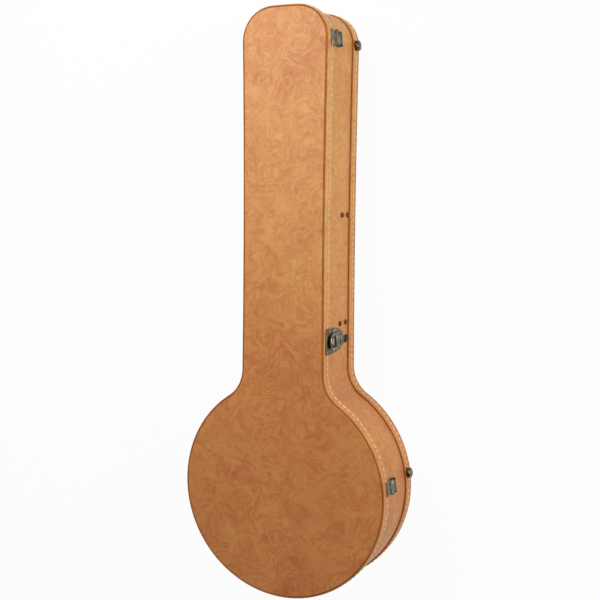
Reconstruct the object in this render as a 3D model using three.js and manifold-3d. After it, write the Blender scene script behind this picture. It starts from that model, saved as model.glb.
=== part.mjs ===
// Hardshell case for a five-string banjo, lying on its back with the lid up.
// Millimetres. +Z is up, +Y runs from the pot to the headstock end, +X is the latch side.
// The origin is on the outer face of the back, under the centre of the round pot.
import * as THREE from "three";
import { mergeVertices } from "three/addons/utils/BufferGeometryUtils.js";
import Module from "manifold-3d";

// Outline of the side wall
const potRadius = 190;
const caseReach = 832.8;
const neckHalfWidthAtPot = 76.5;
const neckHalfWidthAtEnd = 78.6;
const neckDrawIn = 2.4;
const cornerRadius = 55;
const endCrown = 4.2;
const waistRadius = 61;

// Depth of the case and of its lid
const caseDepth = 137.5;
const lidDepth = 38.3;
const partingGap = 0.4;
const boardThickness = 6.5;
const wallThickness = 7;
const seatGap = 0.3;

// Covering that shows on the edges
const bandProud = 2.9;
const bandRounding = 1.1;
const lidBandReach = 21;
const backBandReach = 23.8;
const pipingRadius = 1.2;
const pipingProud = 0.5;
const weltRadius = 0.95;
const panelRounding = 2.2;

// Inside
const liningThickness = 3;
const lipThickness = 2.5;
const lipRise = 12;
const lipFoot = 62.3;
const lipClearance = 1.3;
const baseLiningThickness = 5;
const lidPadThickness = 5;
const lidPadCrown = 2;
const padClearance = 0.5;
const bolsterThickness = 10.8;
const bolsterRounding = 3.2;
const potPadThickness = 7;
const potPadCrown = 5;
const potPadRounding = 4;
const compartmentFromWaist = 90;
const partitionThickness = 5;
const compartmentHeight = 45.6;
const cleatWidth = 8;
const cleatHeight = 8;
const flapThickness = 4;
const flapRounding = 1.2;
const flapGap = 1.1;
const tabLength = 24;
const tabWidth = 14;
const tabThickness = 1.2;
const cradleFromEnd = 272.8;
const cradleLength = 40;
const cradleHeight = 60;
const cradleNotchWidth = 60;
const cradleNotchDepth = 24;
const cradleRounding = 5;
const headstockPadDepth = 34.8;
const headstockPadHeight = 46;
const headstockPadRounding = 6;

// Hinges on the far side
const hingeLength = 30;
const hingeSpread = 20;
const hingeEndShift = 8;
const barrelRadius = 3;
const barrelClearance = 0.6;
const knuckleGap = 0.4;
const hingePinRadius = 1.3;
const pinClearance = 0.1;
const pinHeadRadius = 2.1;
const pinHeadHeight = 0.9;
const leafThickness = 1.4;
const lidLeafReach = 16.5;
const bodyLeafReach = 22;

// Latches: two small ones and the wide one with the lock
const smallLatch = {
  halfWidth: 13,
  sheet: 1.2,
  catchTop: 25,
  catchFoot: 0.8,
  cornerRound: 1.6,
  keeperTop: 24.2,
  keeperFoot: 0.9,
  keeperHalfWidth: 12.3,
  keeperFace: 6,
  keeperRim: 0.8,
  keeperRound: 2.4,
  baseTop: 1.2,
  baseShoulder: 14,
  baseReach: 19,
  baseTipHalfWidth: 12.4,
  pinHeight: 3.6,
  pinDrop: 4.2,
  pinRadius: 0.9,
  knuckleRadius: 1.9,
  headThickness: 0.5,
  leverHalfWidth: 9.4,
  leverBack: 2.1,
  leverFace: 4.3,
  leverTop: 2.6,
  leverSheet: 1.5,
  grooveDrop: 11.7,
  flangeDrop: 13.5,
  flangeHalfWidth: 12.7,
  crossbarReach: 15.6,
  leverReach: 17.8,
  leverLift: 0.5,
  ribs: [],
  earThickness: 0.9,
  bailHalfWidth: 12.2,
  bailWire: 0.7,
  bailPivotDrop: 11.4,
  bailPivotHeight: 3.9,
  bailFace: 6.4,
  bailTop: 12.2,
  bailArch: 4,
};
const lockLatch = {
  halfWidth: 22.3,
  sheet: 1.4,
  catchTop: 30.6,
  catchFoot: 0.8,
  cornerRound: 5.5,
  keeperTop: 24.4,
  keeperFoot: 0.9,
  keeperHalfWidth: 12.2,
  keeperFace: 8,
  keeperRim: 1.3,
  keeperRound: 11,
  baseTop: 1.2,
  baseShoulder: 12,
  baseReach: 47,
  baseTipHalfWidth: 11.5,
  pinHeight: 5,
  pinDrop: 6.5,
  pinRadius: 1.4,
  knuckleRadius: 3.1,
  headThickness: 0.6,
  leverHalfWidth: 9.2,
  leverBack: 2.4,
  leverFace: 7.4,
  leverTop: 4.1,
  leverSheet: 1.8,
  grooveDrop: 19.6,
  flangeDrop: 20.5,
  flangeHalfWidth: 8.3,
  crossbarReach: 33,
  leverReach: 36,
  leverLift: 1.2,
  ribs: [7.5, 11.5, 15.5],
  earThickness: 1.2,
  bailHalfWidth: 13.4,
  bailWire: 1.25,
  bailPivotDrop: 26.5,
  bailPivotHeight: 5,
  bailFace: 8.9,
  bailTop: 22.8,
  bailArch: 12,
};
const topLatchFromEnd = 53;
const lowLatchY = 22;
const lockFromWaist = 56.1;

// Key cylinder and finger grip of the lock
const lockPlugRadius = 4.6;
const lockPlugProud = 0.5;
const lockPlugRise = 10.6;
const keySlotLength = 6;
const keySlotWidth = 1.3;
const keySlotDepth = 2.4;
const gripLength = 19;
const gripHalfWidth = 7.2;
const gripThickness = 4.6;
const gripNeckShare = 0.9;

// Ribs, bulge and arch that the latches share
const ribWidth = 1.2;
const ribDepth = 0.6;
const bulgeShare = 0.83;
const archShare = 0.75;
const headShare = 1.5;
const knuckleArc = [0.6 * Math.PI, 1.2 * Math.PI];

// Buttons and rivets on the side walls
const buttonRadius = 9.5;
const buttonHeight = 7.6;
const buttonRise = 15;
const topButtonFromEnd = 54.8;
const lowButtonY = 27;
const rivetRadius = 4.9;
const rivetHeight = 3.4;
const handleFromLock = 26.5;
const handleSpan = 190.2;
const rivetRises = [
  [36, 61],
  [31.6, 56],
];

// Steps of the curves
const potSteps = 20;
const waistSteps = 4;
const sideSteps = 4;
const cornerSteps = 6;
const endSteps = 2;
const pipingSides = 6;
const roundSteps = 16;
const bandPoints = 1;
const cornerPoints = 3;
const knucklePoints = 5;
const archPoints = 7;
const wireSides = 8;
const bolsterSteps = 26;
const cushionSides = 40;
const mergeShare = 1e-4;

// Rounded forms, as shares of their reach and of their height
const lidPadShares = [
  [0.25, 0.6],
  [0.67, 1],
];
const potPadShares = [
  [1, 0.3],
  [0.53, 0.85],
  [0, 1],
];
const buttonShares = [
  [0, 0],
  [0.9, 0],
  [1, 0.16],
  [0.97, 0.7],
  [0.8, 0.93],
  [0, 1],
];
const rivetShares = [
  [0, 0],
  [1, 0],
  [0.85, 0.6],
  [0.5, 0.92],
  [0, 1],
];

// Heights that follow from the sizes
const partingZ = caseDepth - lidDepth;
const lidWallFoot = partingZ + partingGap / 2;
const bodyWallTop = partingZ - partingGap / 2;
const lidBoardFoot = caseDepth - boardThickness;
const panelEdge = pipingProud - pipingRadius - seatGap;
const lidPipingZ = caseDepth - pipingRadius - seatGap / 2;
const backPipingZ = pipingRadius + seatGap / 2;
const innerFace = -wallThickness - seatGap;
const liningFace = innerFace - liningThickness;
const fillFace = liningFace - padClearance;
const lipFace = innerFace - (lipClearance - seatGap) - lipThickness;
const floorZ = boardThickness + seatGap + baseLiningThickness;
const padFoot = floorZ + seatGap;

const wasm = await Module();
wasm.setup();

// A closed geometry as a solid that can be joined and cut
function solidOf(geometry) {
  const bare = geometry.clone();
  for (const name of Object.keys(bare.attributes)) {
    if (name !== "position") bare.deleteAttribute(name);
  }
  const merged = mergeVertices(bare, pipingRadius * mergeShare);
  const triVerts = new Uint32Array(merged.index.array);
  const vertProperties = merged.attributes.position.array;
  return new wasm.Manifold(new wasm.Mesh({ numProp: 3, vertProperties, triVerts }));
}

// The solid back as a geometry for a mesh
function geometryOf(solid) {
  const mesh = solid.getMesh();
  const geometry = new THREE.BufferGeometry();
  geometry.setAttribute("position", new THREE.BufferAttribute(mesh.vertProperties, 3));
  geometry.setIndex(new THREE.BufferAttribute(mesh.triVerts, 1));
  const flat = geometry.toNonIndexed();
  flat.computeVertexNormals();
  return flat;
}

// Rings of points joined to a closed surface with its faces pointing out
function skin(points, triangles) {
  let volume = 0;
  for (const [a, b, c] of triangles) {
    const cross = new THREE.Vector3().crossVectors(points[b], points[c]);
    volume += points[a].dot(cross);
  }
  const index = triangles.flatMap(([a, b, c]) => (volume < 0 ? [a, c, b] : [a, b, c]));
  const geometry = new THREE.BufferGeometry().setFromPoints(points);
  geometry.setIndex(index);
  const flat = geometry.toNonIndexed();
  flat.computeVertexNormals();
  return flat;
}

// Outline of the wall

// Straight line of the neck's side, which leans out a little towards the end
const sideDirection = new THREE.Vector2(
  neckHalfWidthAtEnd - neckHalfWidthAtPot,
  caseReach - potRadius,
).normalize();
const sideNormal = new THREE.Vector2(sideDirection.y, -sideDirection.x);
const sideFoot = new THREE.Vector2(neckHalfWidthAtPot, potRadius);

// Distance along a line at which it meets a circle, the far one of the two
function farCrossing(from, direction, centre, radius) {
  const away = from.clone().sub(centre);
  const along = away.dot(direction);
  return -along + Math.sqrt(along ** 2 - away.lengthSq() + radius ** 2);
}

const potCentre = new THREE.Vector2(0, 0);
const waistLineStart = sideFoot.clone().addScaledVector(sideNormal, waistRadius);
const waistCentre = waistLineStart
  .clone()
  .addScaledVector(
    sideDirection,
    farCrossing(waistLineStart, sideDirection, potCentre, potRadius + waistRadius),
  );
const waistOnPot = waistCentre.clone().multiplyScalar(potRadius / (potRadius + waistRadius));
const waistOnSide = waistCentre.clone().addScaledVector(sideNormal, -waistRadius);

const endRadius = (neckHalfWidthAtEnd ** 2 + endCrown ** 2) / (2 * endCrown);
const endCentre = new THREE.Vector2(0, caseReach - endRadius);
const cornerLineStart = waistOnSide.clone().addScaledVector(sideNormal, -cornerRadius);
const cornerCentre = cornerLineStart
  .clone()
  .addScaledVector(
    sideDirection,
    farCrossing(cornerLineStart, sideDirection, endCentre, endRadius - cornerRadius),
  );
const cornerOnSide = cornerCentre.clone().addScaledVector(sideNormal, cornerRadius);

// The neck's sides draw in a little between the pot and the end
function drawnIn(point) {
  const share = (point.y - potRadius) / (caseReach - potRadius);
  if (share <= 0 || share >= 1) return point;
  const side = Math.min(Math.abs(point.x) / neckHalfWidthAtPot, 1) * Math.sign(point.x);
  const drawShare = 4 * share * (1 - share);
  return new THREE.Vector2(point.x - side * neckDrawIn * drawShare, point.y);
}

// Places along the case that follow from its waist and its end
const lockY = waistCentre.y + lockFromWaist;
const partitionY = waistCentre.y + compartmentFromWaist;
const topLatchY = caseReach - topLatchFromEnd;
const topButtonY = caseReach - topButtonFromEnd;
const cradleY = caseReach - cradleFromEnd;
const headstockPadY = caseReach - headstockPadDepth;
const rivetRows = [lockY + handleFromLock, lockY + handleFromLock + handleSpan];

// Points of an arc with their outward normals; hollow turns the normals to the arc's centre
function arcSamples(centre, radius, from, to, steps, hollow) {
  return Array.from({ length: steps }, (_, i) => {
    const angle = from + ((to - from) * (i + 1)) / steps;
    const normal = new THREE.Vector2(Math.cos(angle), Math.sin(angle));
    const point = centre.clone().addScaledVector(normal, radius);
    return { point: drawnIn(point), normal: hollow ? normal.negate() : normal };
  });
}

const angleOf = (from, to) => Math.atan2(to.y - from.y, to.x - from.x);
const potJoinAngle = angleOf(potCentre, waistOnPot);

// Right half of the outline, from the foot of the pot to the middle of the end
function halfOutline() {
  const down = -Math.PI / 2;
  const start = { point: new THREE.Vector2(0, -potRadius), normal: new THREE.Vector2(0, -1) };
  const waistFrom = angleOf(waistCentre, waistOnPot) + 2 * Math.PI;
  const waistTo = Math.PI + Math.atan2(sideNormal.y, sideNormal.x);
  const side = Array.from({ length: sideSteps }, (_, i) => ({
    point: drawnIn(waistOnSide.clone().lerp(cornerOnSide, (i + 1) / sideSteps)),
    normal: sideNormal.clone(),
  }));
  const sideAngle = Math.atan2(sideNormal.y, sideNormal.x);
  const endAngle = angleOf(endCentre, cornerCentre);
  return [
    start,
    ...arcSamples(potCentre, potRadius, down, potJoinAngle, potSteps, false),
    ...arcSamples(waistCentre, waistRadius, waistFrom, waistTo, waistSteps, true),
    ...side,
    ...arcSamples(cornerCentre, cornerRadius, sideAngle, endAngle, cornerSteps, false),
    ...arcSamples(endCentre, endRadius, endAngle, Math.PI / 2, endSteps, false),
  ];
}

const rightHalf = halfOutline();
const leftHalf = rightHalf
  .slice(1, -1)
  .reverse()
  .map(({ point, normal }) => ({
    point: new THREE.Vector2(-point.x, point.y),
    normal: new THREE.Vector2(-normal.x, normal.y),
  }));
const outline = [...rightHalf, ...leftHalf];

const ringAt = ([offset, z]) =>
  outline.map(({ point, normal }) => {
    const p = point.clone().addScaledVector(normal, offset);
    return new THREE.Vector3(p.x, p.y, z);
  });

function bridge(first, second, count) {
  const faces = [];
  for (let i = 0; i < count; i++) {
    const next = (i + 1) % count;
    faces.push([first + i, first + next, second + next]);
    faces.push([first + i, second + next, second + i]);
  }
  return faces;
}

// A closed section, in offsets from the wall and heights, taken once round the outline
function hoop(section) {
  const rings = section.map(ringAt);
  const count = outline.length;
  const faces = rings.flatMap((_, i) =>
    bridge(i * count, ((i + 1) % rings.length) * count, count),
  );
  return skin(rings.flat(), faces);
}

// Rings one after the other, closed by a flat face at the first and at the last
function stack(levels) {
  const rings = levels.map(ringAt);
  const count = outline.length;
  const faces = [];
  for (let i = 0; i + 1 < rings.length; i++) {
    faces.push(...bridge(i * count, (i + 1) * count, count));
  }
  const flat = rings[0].map((p) => new THREE.Vector2(p.x, p.y));
  const last = rings[rings.length - 1].map((p) => new THREE.Vector2(p.x, p.y));
  for (const [a, b, c] of THREE.ShapeUtils.triangulateShape(flat, [])) {
    faces.push([a, c, b]);
  }
  const shift = (rings.length - 1) * count;
  for (const [a, b, c] of THREE.ShapeUtils.triangulateShape(last, [])) {
    faces.push([a + shift, b + shift, c + shift]);
  }
  return skin(rings.flat(), faces);
}

// Where a fitting sits on the latch side: the wall's point and outward angle at a height y
function seatAt(y) {
  const next = rightHalf.findIndex(({ point }, i) => i > potSteps / 4 && point.y >= y);
  const from = rightHalf[next - 1].point;
  const to = rightHalf[next].point;
  const share = (y - from.y) / (to.y - from.y);
  const angle = angleOf(from, to) - Math.PI / 2;
  return { x: from.x + (to.x - from.x) * share, y, angle };
}

// Materials

const material = (color, roughness, metalness = 0) => () =>
  new THREE.MeshStandardMaterial({ color, roughness, metalness });
const tanVinyl = material(0xd09661, 0.5);
const sideVinyl = material(0xcf9763, 0.5);
const bandVinyl = material(0xd29c5f, 0.5);
const darkPiping = material(0x8d4a20, 0.5);
const plush = material(0x7d2f22, 0.95);
const plushBoard = material(0x6f2a1f, 0.95);
const leather = material(0x5a2f1a, 0.7);
const agedBronze = material(0x6f6857, 0.42, 0.85);
const agedSteel = material(0x8a8272, 0.4, 0.85);
const blackGrip = material(0x1c1b1a, 0.6);

const bodies = new THREE.Group();

function addPiece(name, geometry, finish, place) {
  const mesh = new THREE.Mesh(geometry, finish());
  mesh.name = name;
  (place ?? bodies).add(mesh);
  return mesh;
}

// A shape drawn in a plane and given a thickness along the plane's normal
function plate(points, thickness) {
  const shape = new THREE.Shape(points);
  return new THREE.ExtrudeGeometry(shape, { depth: thickness, bevelEnabled: false });
}

function box(x0, x1, y0, y1, z0, z1) {
  const geometry = new THREE.BoxGeometry(x1 - x0, y1 - y0, z1 - z0);
  return geometry.translate((x0 + x1) / 2, (y0 + y1) / 2, (z0 + z1) / 2);
}

// Corner of a section, rounded by an arc of a few points
function roundedCorner(centre, radius, from, to, steps) {
  return Array.from({ length: steps + 1 }, (_, i) => {
    const angle = from + ((to - from) * i) / steps;
    return [centre[0] + radius * Math.cos(angle), centre[1] + radius * Math.sin(angle)];
  });
}

// Shell of the lid and of the body

function bandSection(foot, top) {
  const inner = seatGap;
  const outer = bandProud;
  return [
    [inner, foot],
    ...roundedCorner(
      [outer - bandRounding, foot + bandRounding], bandRounding, -Math.PI / 2, 0, bandPoints,
    ),
    ...roundedCorner(
      [outer - bandRounding, top - bandRounding], bandRounding, 0, Math.PI / 2, bandPoints,
    ),
    [inner, top],
  ];
}

const beadSection = (offset, z, radius) =>
  Array.from({ length: pipingSides }, (_, i) => {
    const angle = (2 * Math.PI * i) / pipingSides;
    return [offset + radius * Math.cos(angle), z + radius * Math.sin(angle)];
  });

const panelEdgeLevels = roundedCorner(
  [panelEdge - panelRounding, -panelRounding], panelRounding, 0, Math.PI / 2, cornerPoints,
);

function makeShell() {
  const lidPanelLevels = [
    [panelEdge, lidBoardFoot],
    ...panelEdgeLevels.map(([offset, drop]) => [offset, caseDepth + drop]),
  ];
  addPiece("lid_panel", stack(lidPanelLevels), tanVinyl);
  const backPanelLevels = [
    [panelEdge, boardThickness],
    ...panelEdgeLevels.map(([offset, drop]) => [offset, -drop]),
  ];
  addPiece("back_panel", stack(backPanelLevels), tanVinyl);
  const lidWallTop = lidBoardFoot - seatGap;
  const wallFoot = boardThickness + seatGap;
  const wall = (foot, top) => [[0, foot], [0, top], [-wallThickness, top], [-wallThickness, foot]];
  addPiece("lid_side_wall", hoop(wall(lidWallFoot, lidWallTop)), sideVinyl);
  addPiece("body_side_wall", hoop(wall(wallFoot, bodyWallTop)), sideVinyl);

  const lidBandTop = lidPipingZ - pipingRadius - seatGap;
  addPiece("lid_edge_band", hoop(bandSection(caseDepth - lidBandReach, lidBandTop)), bandVinyl);
  const backBandFoot = backPipingZ + pipingRadius + seatGap;
  addPiece("back_edge_band", hoop(bandSection(backBandFoot, backBandReach)), bandVinyl);

  const bead = (offset, z, radius) => hoop(beadSection(offset, z, radius));
  addPiece("lid_corner_piping", bead(pipingProud, lidPipingZ, pipingRadius), darkPiping);
  addPiece("back_corner_piping", bead(pipingProud, backPipingZ, pipingRadius), darkPiping);
  const weltZ = backBandReach + seatGap + weltRadius;
  addPiece("back_band_welt", bead(seatGap + weltRadius, weltZ, weltRadius), darkPiping);
}

// Lining and padding

function makeLinings() {
  const lipTop = bodyWallTop + lipRise;
  const lipOuter = -wallThickness - lipClearance;
  const lipBend = lipClearance - seatGap;
  const lipSection = [
    [innerFace, lipFoot],
    [innerFace, bodyWallTop - lipBend],
    [lipOuter, bodyWallTop],
    [lipOuter, lipTop - lipBend],
    [lipOuter - lipBend / 2, lipTop],
    [lipFace + lipBend / 2, lipTop],
    [lipFace, lipTop - lipBend],
    [lipFace, lipFoot],
  ];
  addPiece("body_inner_lip", hoop(lipSection), plushBoard);
  const liningSection = [
    [innerFace, floorZ + seatGap],
    [innerFace, lipFoot - seatGap],
    [liningFace, lipFoot - seatGap],
    [liningFace, floorZ + seatGap],
  ];
  addPiece("body_side_lining", hoop(liningSection), plush);
  const baseLevels = [
    [innerFace, boardThickness + seatGap],
    [innerFace, floorZ],
  ];
  addPiece("body_base_lining", stack(baseLevels), plush);

  const skirtFoot = lipTop + lipClearance;
  const padTop = lidBoardFoot - seatGap;
  const padFace = padTop - lidPadThickness;
  const crownReach = cornerRadius - wallThickness - liningThickness;
  const lidLevels = [
    [innerFace, padTop],
    [innerFace, skirtFoot],
    [liningFace, skirtFoot],
    [liningFace, padFace],
    ...lidPadShares.map(([reach, crown]) => [
      liningFace - crownReach * reach,
      padFace - lidPadCrown * crown,
    ]),
  ];
  addPiece("lid_lining", stack(lidLevels), plush);
}

// A section in radius and height swept round part of the pot
function arcPad(section, from, to, steps) {
  const points = [];
  for (let i = 0; i <= steps; i++) {
    const angle = from + ((to - from) * i) / steps;
    for (const [radius, z] of section) {
      points.push(new THREE.Vector3(radius * Math.cos(angle), radius * Math.sin(angle), z));
    }
  }
  const count = section.length;
  const faces = [];
  for (let i = 0; i < steps; i++) faces.push(...bridge(i * count, (i + 1) * count, count));
  const flat = section.map(([radius, z]) => new THREE.Vector2(radius, z));
  const shift = steps * count;
  for (const [a, b, c] of THREE.ShapeUtils.triangulateShape(flat, [])) {
    faces.push([a, c, b], [a + shift, b + shift, c + shift]);
  }
  return skin(points, faces);
}

function makePotPads() {
  const outer = potRadius + liningFace - padClearance;
  const inner = outer - bolsterThickness;
  const top = lipFoot - seatGap - bolsterRounding;
  const r = bolsterRounding;
  const section = [
    [inner, padFoot],
    [outer, padFoot],
    [outer, top - r],
    [outer - r, top],
    [inner + r, top],
    [inner - r / 4, top - 2 * r],
    [inner - r / 2, (top + padFoot) / 2],
  ];
  const end = potJoinAngle;
  const start = Math.PI - potJoinAngle;
  addPiece("pot_bolster", arcPad(section, start, end + 2 * Math.PI, bolsterSteps), plush);

  const rim = inner - r / 2 - padClearance;
  const profile = [
    [0, padFoot],
    [rim - potPadRounding, padFoot],
    [rim, padFoot + potPadRounding / 2],
    [rim - potPadRounding / 4, padFoot + potPadThickness - potPadRounding / 4],
    ...potPadShares.map(([reach, crown]) => [
      (rim - potPadRounding * 2) * reach,
      padFoot + potPadThickness + potPadCrown * crown,
    ]),
  ].map(([x, y]) => new THREE.Vector2(x, y));
  const pad = new THREE.LatheGeometry(profile, cushionSides).rotateX(Math.PI / 2);
  addPiece("pot_cushion", geometryOf(solidOf(pad)), plush);
}

// Space inside the lining, for cutting blocks to the case's shape
const insidePrism = (offset, foot, top) => solidOf(stack([[offset, foot], [offset, top]]));

// A block across the neck, drawn as an XZ section and cut to the inside of the walls
function neckBlock(points, y, length, offset) {
  const geometry = plate(points, length).rotateX(Math.PI / 2).translate(0, y + length, 0);
  return solidOf(geometry).intersect(insidePrism(offset, 0, caseDepth));
}

function sectionPoints(pairs) {
  return pairs.map(([x, z]) => new THREE.Vector2(x, z));
}

function makeCradle() {
  const top = padFoot + cradleHeight;
  const half = neckHalfWidthAtEnd;
  const notch = cradleNotchWidth / 2;
  const bed = top - cradleNotchDepth;
  const r = cradleRounding;
  const right = [
    ...roundedCorner([notch - 2 * r, bed + 2 * r], 2 * r, -Math.PI / 2, 0, cornerPoints),
    ...roundedCorner([notch + r, top - r], r, Math.PI, Math.PI / 2, cornerPoints),
    [half, top],
    [half, padFoot],
  ];
  const left = right.map(([x, z]) => [-x, z]).reverse();
  const block = neckBlock(sectionPoints([...right, ...left]), cradleY, cradleLength,
    lipFace - padClearance);
  addPiece("neck_cradle", geometryOf(block), plush);
}

function makeHeadstockPad() {
  const top = padFoot + headstockPadHeight;
  const r = headstockPadRounding;
  const side = [
    [headstockPadY, padFoot],
    ...roundedCorner([headstockPadY + r, top - r], r, Math.PI, Math.PI / 2, cornerPoints),
    [caseReach, top],
    [caseReach, padFoot],
  ];
  const width = 2 * neckHalfWidthAtEnd;
  const bar = plate(sectionPoints(side), width)
    .rotateX(Math.PI / 2)
    .rotateZ(Math.PI / 2)
    .translate(-neckHalfWidthAtEnd, 0, 0);
  const block = solidOf(bar).intersect(insidePrism(fillFace, 0, caseDepth));
  addPiece("headstock_pad", geometryOf(block), plush);
}

// Accessory compartment under the neck, with its flap

const boxTop = padFoot + compartmentHeight;
const insideHalfWidth = Math.min(neckHalfWidthAtPot, neckHalfWidthAtEnd) - neckDrawIn + lipFace;
const flapHingeX = -insideHalfWidth + flapGap;
const flapTop = boxTop + seatGap + flapThickness;

function makeCompartment() {
  const partition = solidOf(
    box(-potRadius, potRadius, partitionY, partitionY + partitionThickness, padFoot, boxTop),
  ).intersect(insidePrism(fillFace, 0, caseDepth));
  addPiece("compartment_partition", geometryOf(partition), plushBoard);

  const cleatFrom = partitionY + partitionThickness + seatGap;
  const cleatTo = cradleY - seatGap;
  const cleatInner = insideHalfWidth - cleatWidth;
  const cleat = solidOf(
    box(cleatInner, potRadius, cleatFrom, cleatTo, boxTop - cleatHeight, boxTop),
  ).intersect(insidePrism(fillFace, 0, caseDepth));
  addPiece("flap_cleat", geometryOf(cleat), plushBoard);

  const flapFoot = boxTop + seatGap;
  const flapEnd = insideHalfWidth - flapGap;
  const r = flapRounding;
  const flapSection = [
    [flapHingeX, flapFoot],
    [flapEnd - r, flapFoot],
    [flapEnd, flapFoot + r],
    [flapEnd, flapTop - r],
    [flapEnd - r, flapTop],
    [flapHingeX, flapTop],
  ];
  const flapLength = cradleY - padClearance - partitionY;
  const flap = plate(sectionPoints(flapSection), flapLength)
    .rotateX(Math.PI / 2)
    .translate(0, partitionY + flapLength, 0);
  addPiece("compartment_flap", geometryOf(solidOf(flap)), plushBoard);

  const middle = partitionY + flapLength / 2;
  const tab = box(
    flapEnd - tabLength, flapEnd, middle - tabWidth / 2, middle + tabWidth / 2,
    flapTop + seatGap, flapTop + seatGap + tabThickness,
  );
  addPiece("flap_pull_tab", tab, leather);
}

// Hinges: their common axis touches the pot and the corner of the headstock end

const axisReach = potRadius + barrelRadius + barrelClearance;
const cornerReach = cornerRadius + barrelRadius + barrelClearance;
const cornerLeft = new THREE.Vector2(-cornerCentre.x, cornerCentre.y);
const cornerDistance = cornerLeft.length();
const axisLean =
  Math.asin((axisReach - cornerReach) / cornerDistance) -
  Math.asin(cornerCentre.x / cornerDistance);
const axisNormal = new THREE.Vector2(-Math.cos(axisLean), Math.sin(axisLean));
const axisAlong = new THREE.Vector2(Math.sin(axisLean), Math.cos(axisLean));

// A piece drawn along the hinge axis: x is outward, y runs along it and z is up
function onAxis(geometry, along) {
  const turned = geometry.clone().rotateZ(Math.PI - axisLean);
  const foot = axisNormal.clone().multiplyScalar(axisReach).addScaledVector(axisAlong, along);
  return turned.translate(foot.x, foot.y, partingZ);
}

function rod(radius, from, to) {
  const geometry = new THREE.CylinderGeometry(radius, radius, to - from, roundSteps);
  return geometry.translate(0, (from + to) / 2, 0);
}

function hingeLeaf(along, foot, top, knuckles) {
  const half = hingeLength / 2;
  const zLow = Math.min(foot, top);
  const zHigh = Math.max(foot, top);
  const block = onAxis(box(-axisReach / 4, 0, -half, half, zLow, zHigh), along);
  const shell = insidePrism(seatGap + leafThickness, partingZ + zLow, partingZ + zHigh);
  let leaf = solidOf(block).intersect(shell);
  const webReach = 2 * (barrelRadius + barrelClearance);
  const sign = Math.sign(top);
  const webFoot = (sign * seatGap) / 2;
  const webTop = foot + sign * leafThickness;
  for (const [from, to] of knuckles) {
    const web = box(-webReach, 0, from, to, Math.min(webFoot, webTop), Math.max(webFoot, webTop));
    leaf = leaf.add(solidOf(onAxis(web, along)));
    leaf = leaf.add(solidOf(onAxis(rod(barrelRadius, from, to), along)));
  }
  const wall = insidePrism(seatGap, 0, caseDepth);
  const boreRod = rod(hingePinRadius + pinClearance, -hingeLength, hingeLength);
  const bore = solidOf(onAxis(boreRod, along));
  return leaf.subtract(wall).subtract(bore);
}

function makeHinge(name, along) {
  const half = hingeLength / 2;
  const third = hingeLength / 6;
  const outerKnuckles = [
    [-half, -third - knuckleGap / 2],
    [third + knuckleGap / 2, half],
  ];
  const middleKnuckle = [[-third + knuckleGap / 2, third - knuckleGap / 2]];
  const leafFoot = barrelRadius + knuckleGap;
  const lidLeaf = hingeLeaf(along, leafFoot, lidLeafReach, outerKnuckles);
  const bodyLeaf = hingeLeaf(along, -leafFoot, -bodyLeafReach, middleKnuckle);
  addPiece(name + "_lid_leaf", geometryOf(lidLeaf), agedBronze);
  addPiece(name + "_body_leaf", geometryOf(bodyLeaf), agedBronze);
  const head = half + knuckleGap / 2;
  const headOf = (from, to) => solidOf(rod(pinHeadRadius, from, to));
  const pin = solidOf(rod(hingePinRadius, -head, head))
    .add(headOf(-head - pinHeadHeight, -head))
    .add(headOf(head, head + pinHeadHeight));
  addPiece(name + "_pin", onAxis(geometryOf(pin), along), agedBronze);
}

function makeHinges() {
  const endAlong = cornerLeft.dot(axisAlong) - hingeEndShift;
  makeHinge("low_hinge", -hingeSpread);
  makeHinge("pot_hinge", hingeSpread);
  makeHinge("headstock_hinge", endAlong);
}

// Latches: in their own frame x is outward, y runs along the wall and z is up from the parting

function latchPlace(y) {
  const seat = seatAt(y);
  const place = new THREE.Group();
  place.position.set(seat.x, seat.y, partingZ);
  place.rotation.z = seat.angle;
  bodies.add(place);
  return place;
}

// An XZ section given a width along y, centred
function across(pairs, halfWidth) {
  return plate(sectionPoints(pairs), 2 * halfWidth)
    .rotateX(Math.PI / 2)
    .translate(0, halfWidth, 0);
}

// A YZ outline given a thickness along x
function facing(pairs, from, to) {
  const geometry = plate(sectionPoints(pairs), to - from);
  return geometry.rotateX(Math.PI / 2).rotateZ(Math.PI / 2).translate(from, 0, 0);
}

function latchRod(radius, x, z, from, to) {
  return solidOf(rod(radius, from, to).translate(x, 0, z));
}

// Sheet on the lid: it lies on the band, steps down to the wall and carries the raised keeper
function latchCatch(size, withLock) {
  const low = seatGap;
  const high = bandProud + seatGap;
  const t = size.sheet;
  const bandFoot = lidDepth - lidBandReach;
  const stepTop = bandFoot + t;
  const stepFoot = bandFoot - seatGap - t;
  const sheet = [
    [high, size.catchTop],
    [high, bandFoot - seatGap],
    [low, bandFoot - seatGap],
    [low, size.catchFoot],
    [low + t, size.catchFoot],
    [low + t, stepFoot],
    [high + t, stepFoot],
    [high + t, stepTop],
    [high + t, size.catchTop - t / 2],
    [high + t / 2, size.catchTop],
  ];
  const wide = size.halfWidth;
  const round = size.cornerRound;
  const corner = [wide - round, size.catchTop - round];
  const sheetOutline = [
    [wide, size.catchFoot],
    ...roundedCorner(corner, round, 0, Math.PI / 2, cornerPoints),
  ];
  let made = solidOf(across(sheet, wide))
    .intersect(solidOf(facing(mirrored(sheetOutline), 0, size.keeperFace)));
  const face = size.keeperFace;
  const rim = size.keeperRim;
  for (const [inset, height] of [[0, face - rim], [rim, face]]) {
    made = made.add(solidOf(facing(mirrored(keeperOutline(size, inset)), low, height)));
  }
  const reach = 2 * wide;
  made = made.subtract(solidOf(box(-high, high, -reach, reach, bandFoot - seatGap, reach)));
  if (!withLock) return made;
  const bore = plugCylinder(lockPlugRadius + pinClearance, low + t, 2 * face);
  return made.subtract(solidOf(bore));
}

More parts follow.
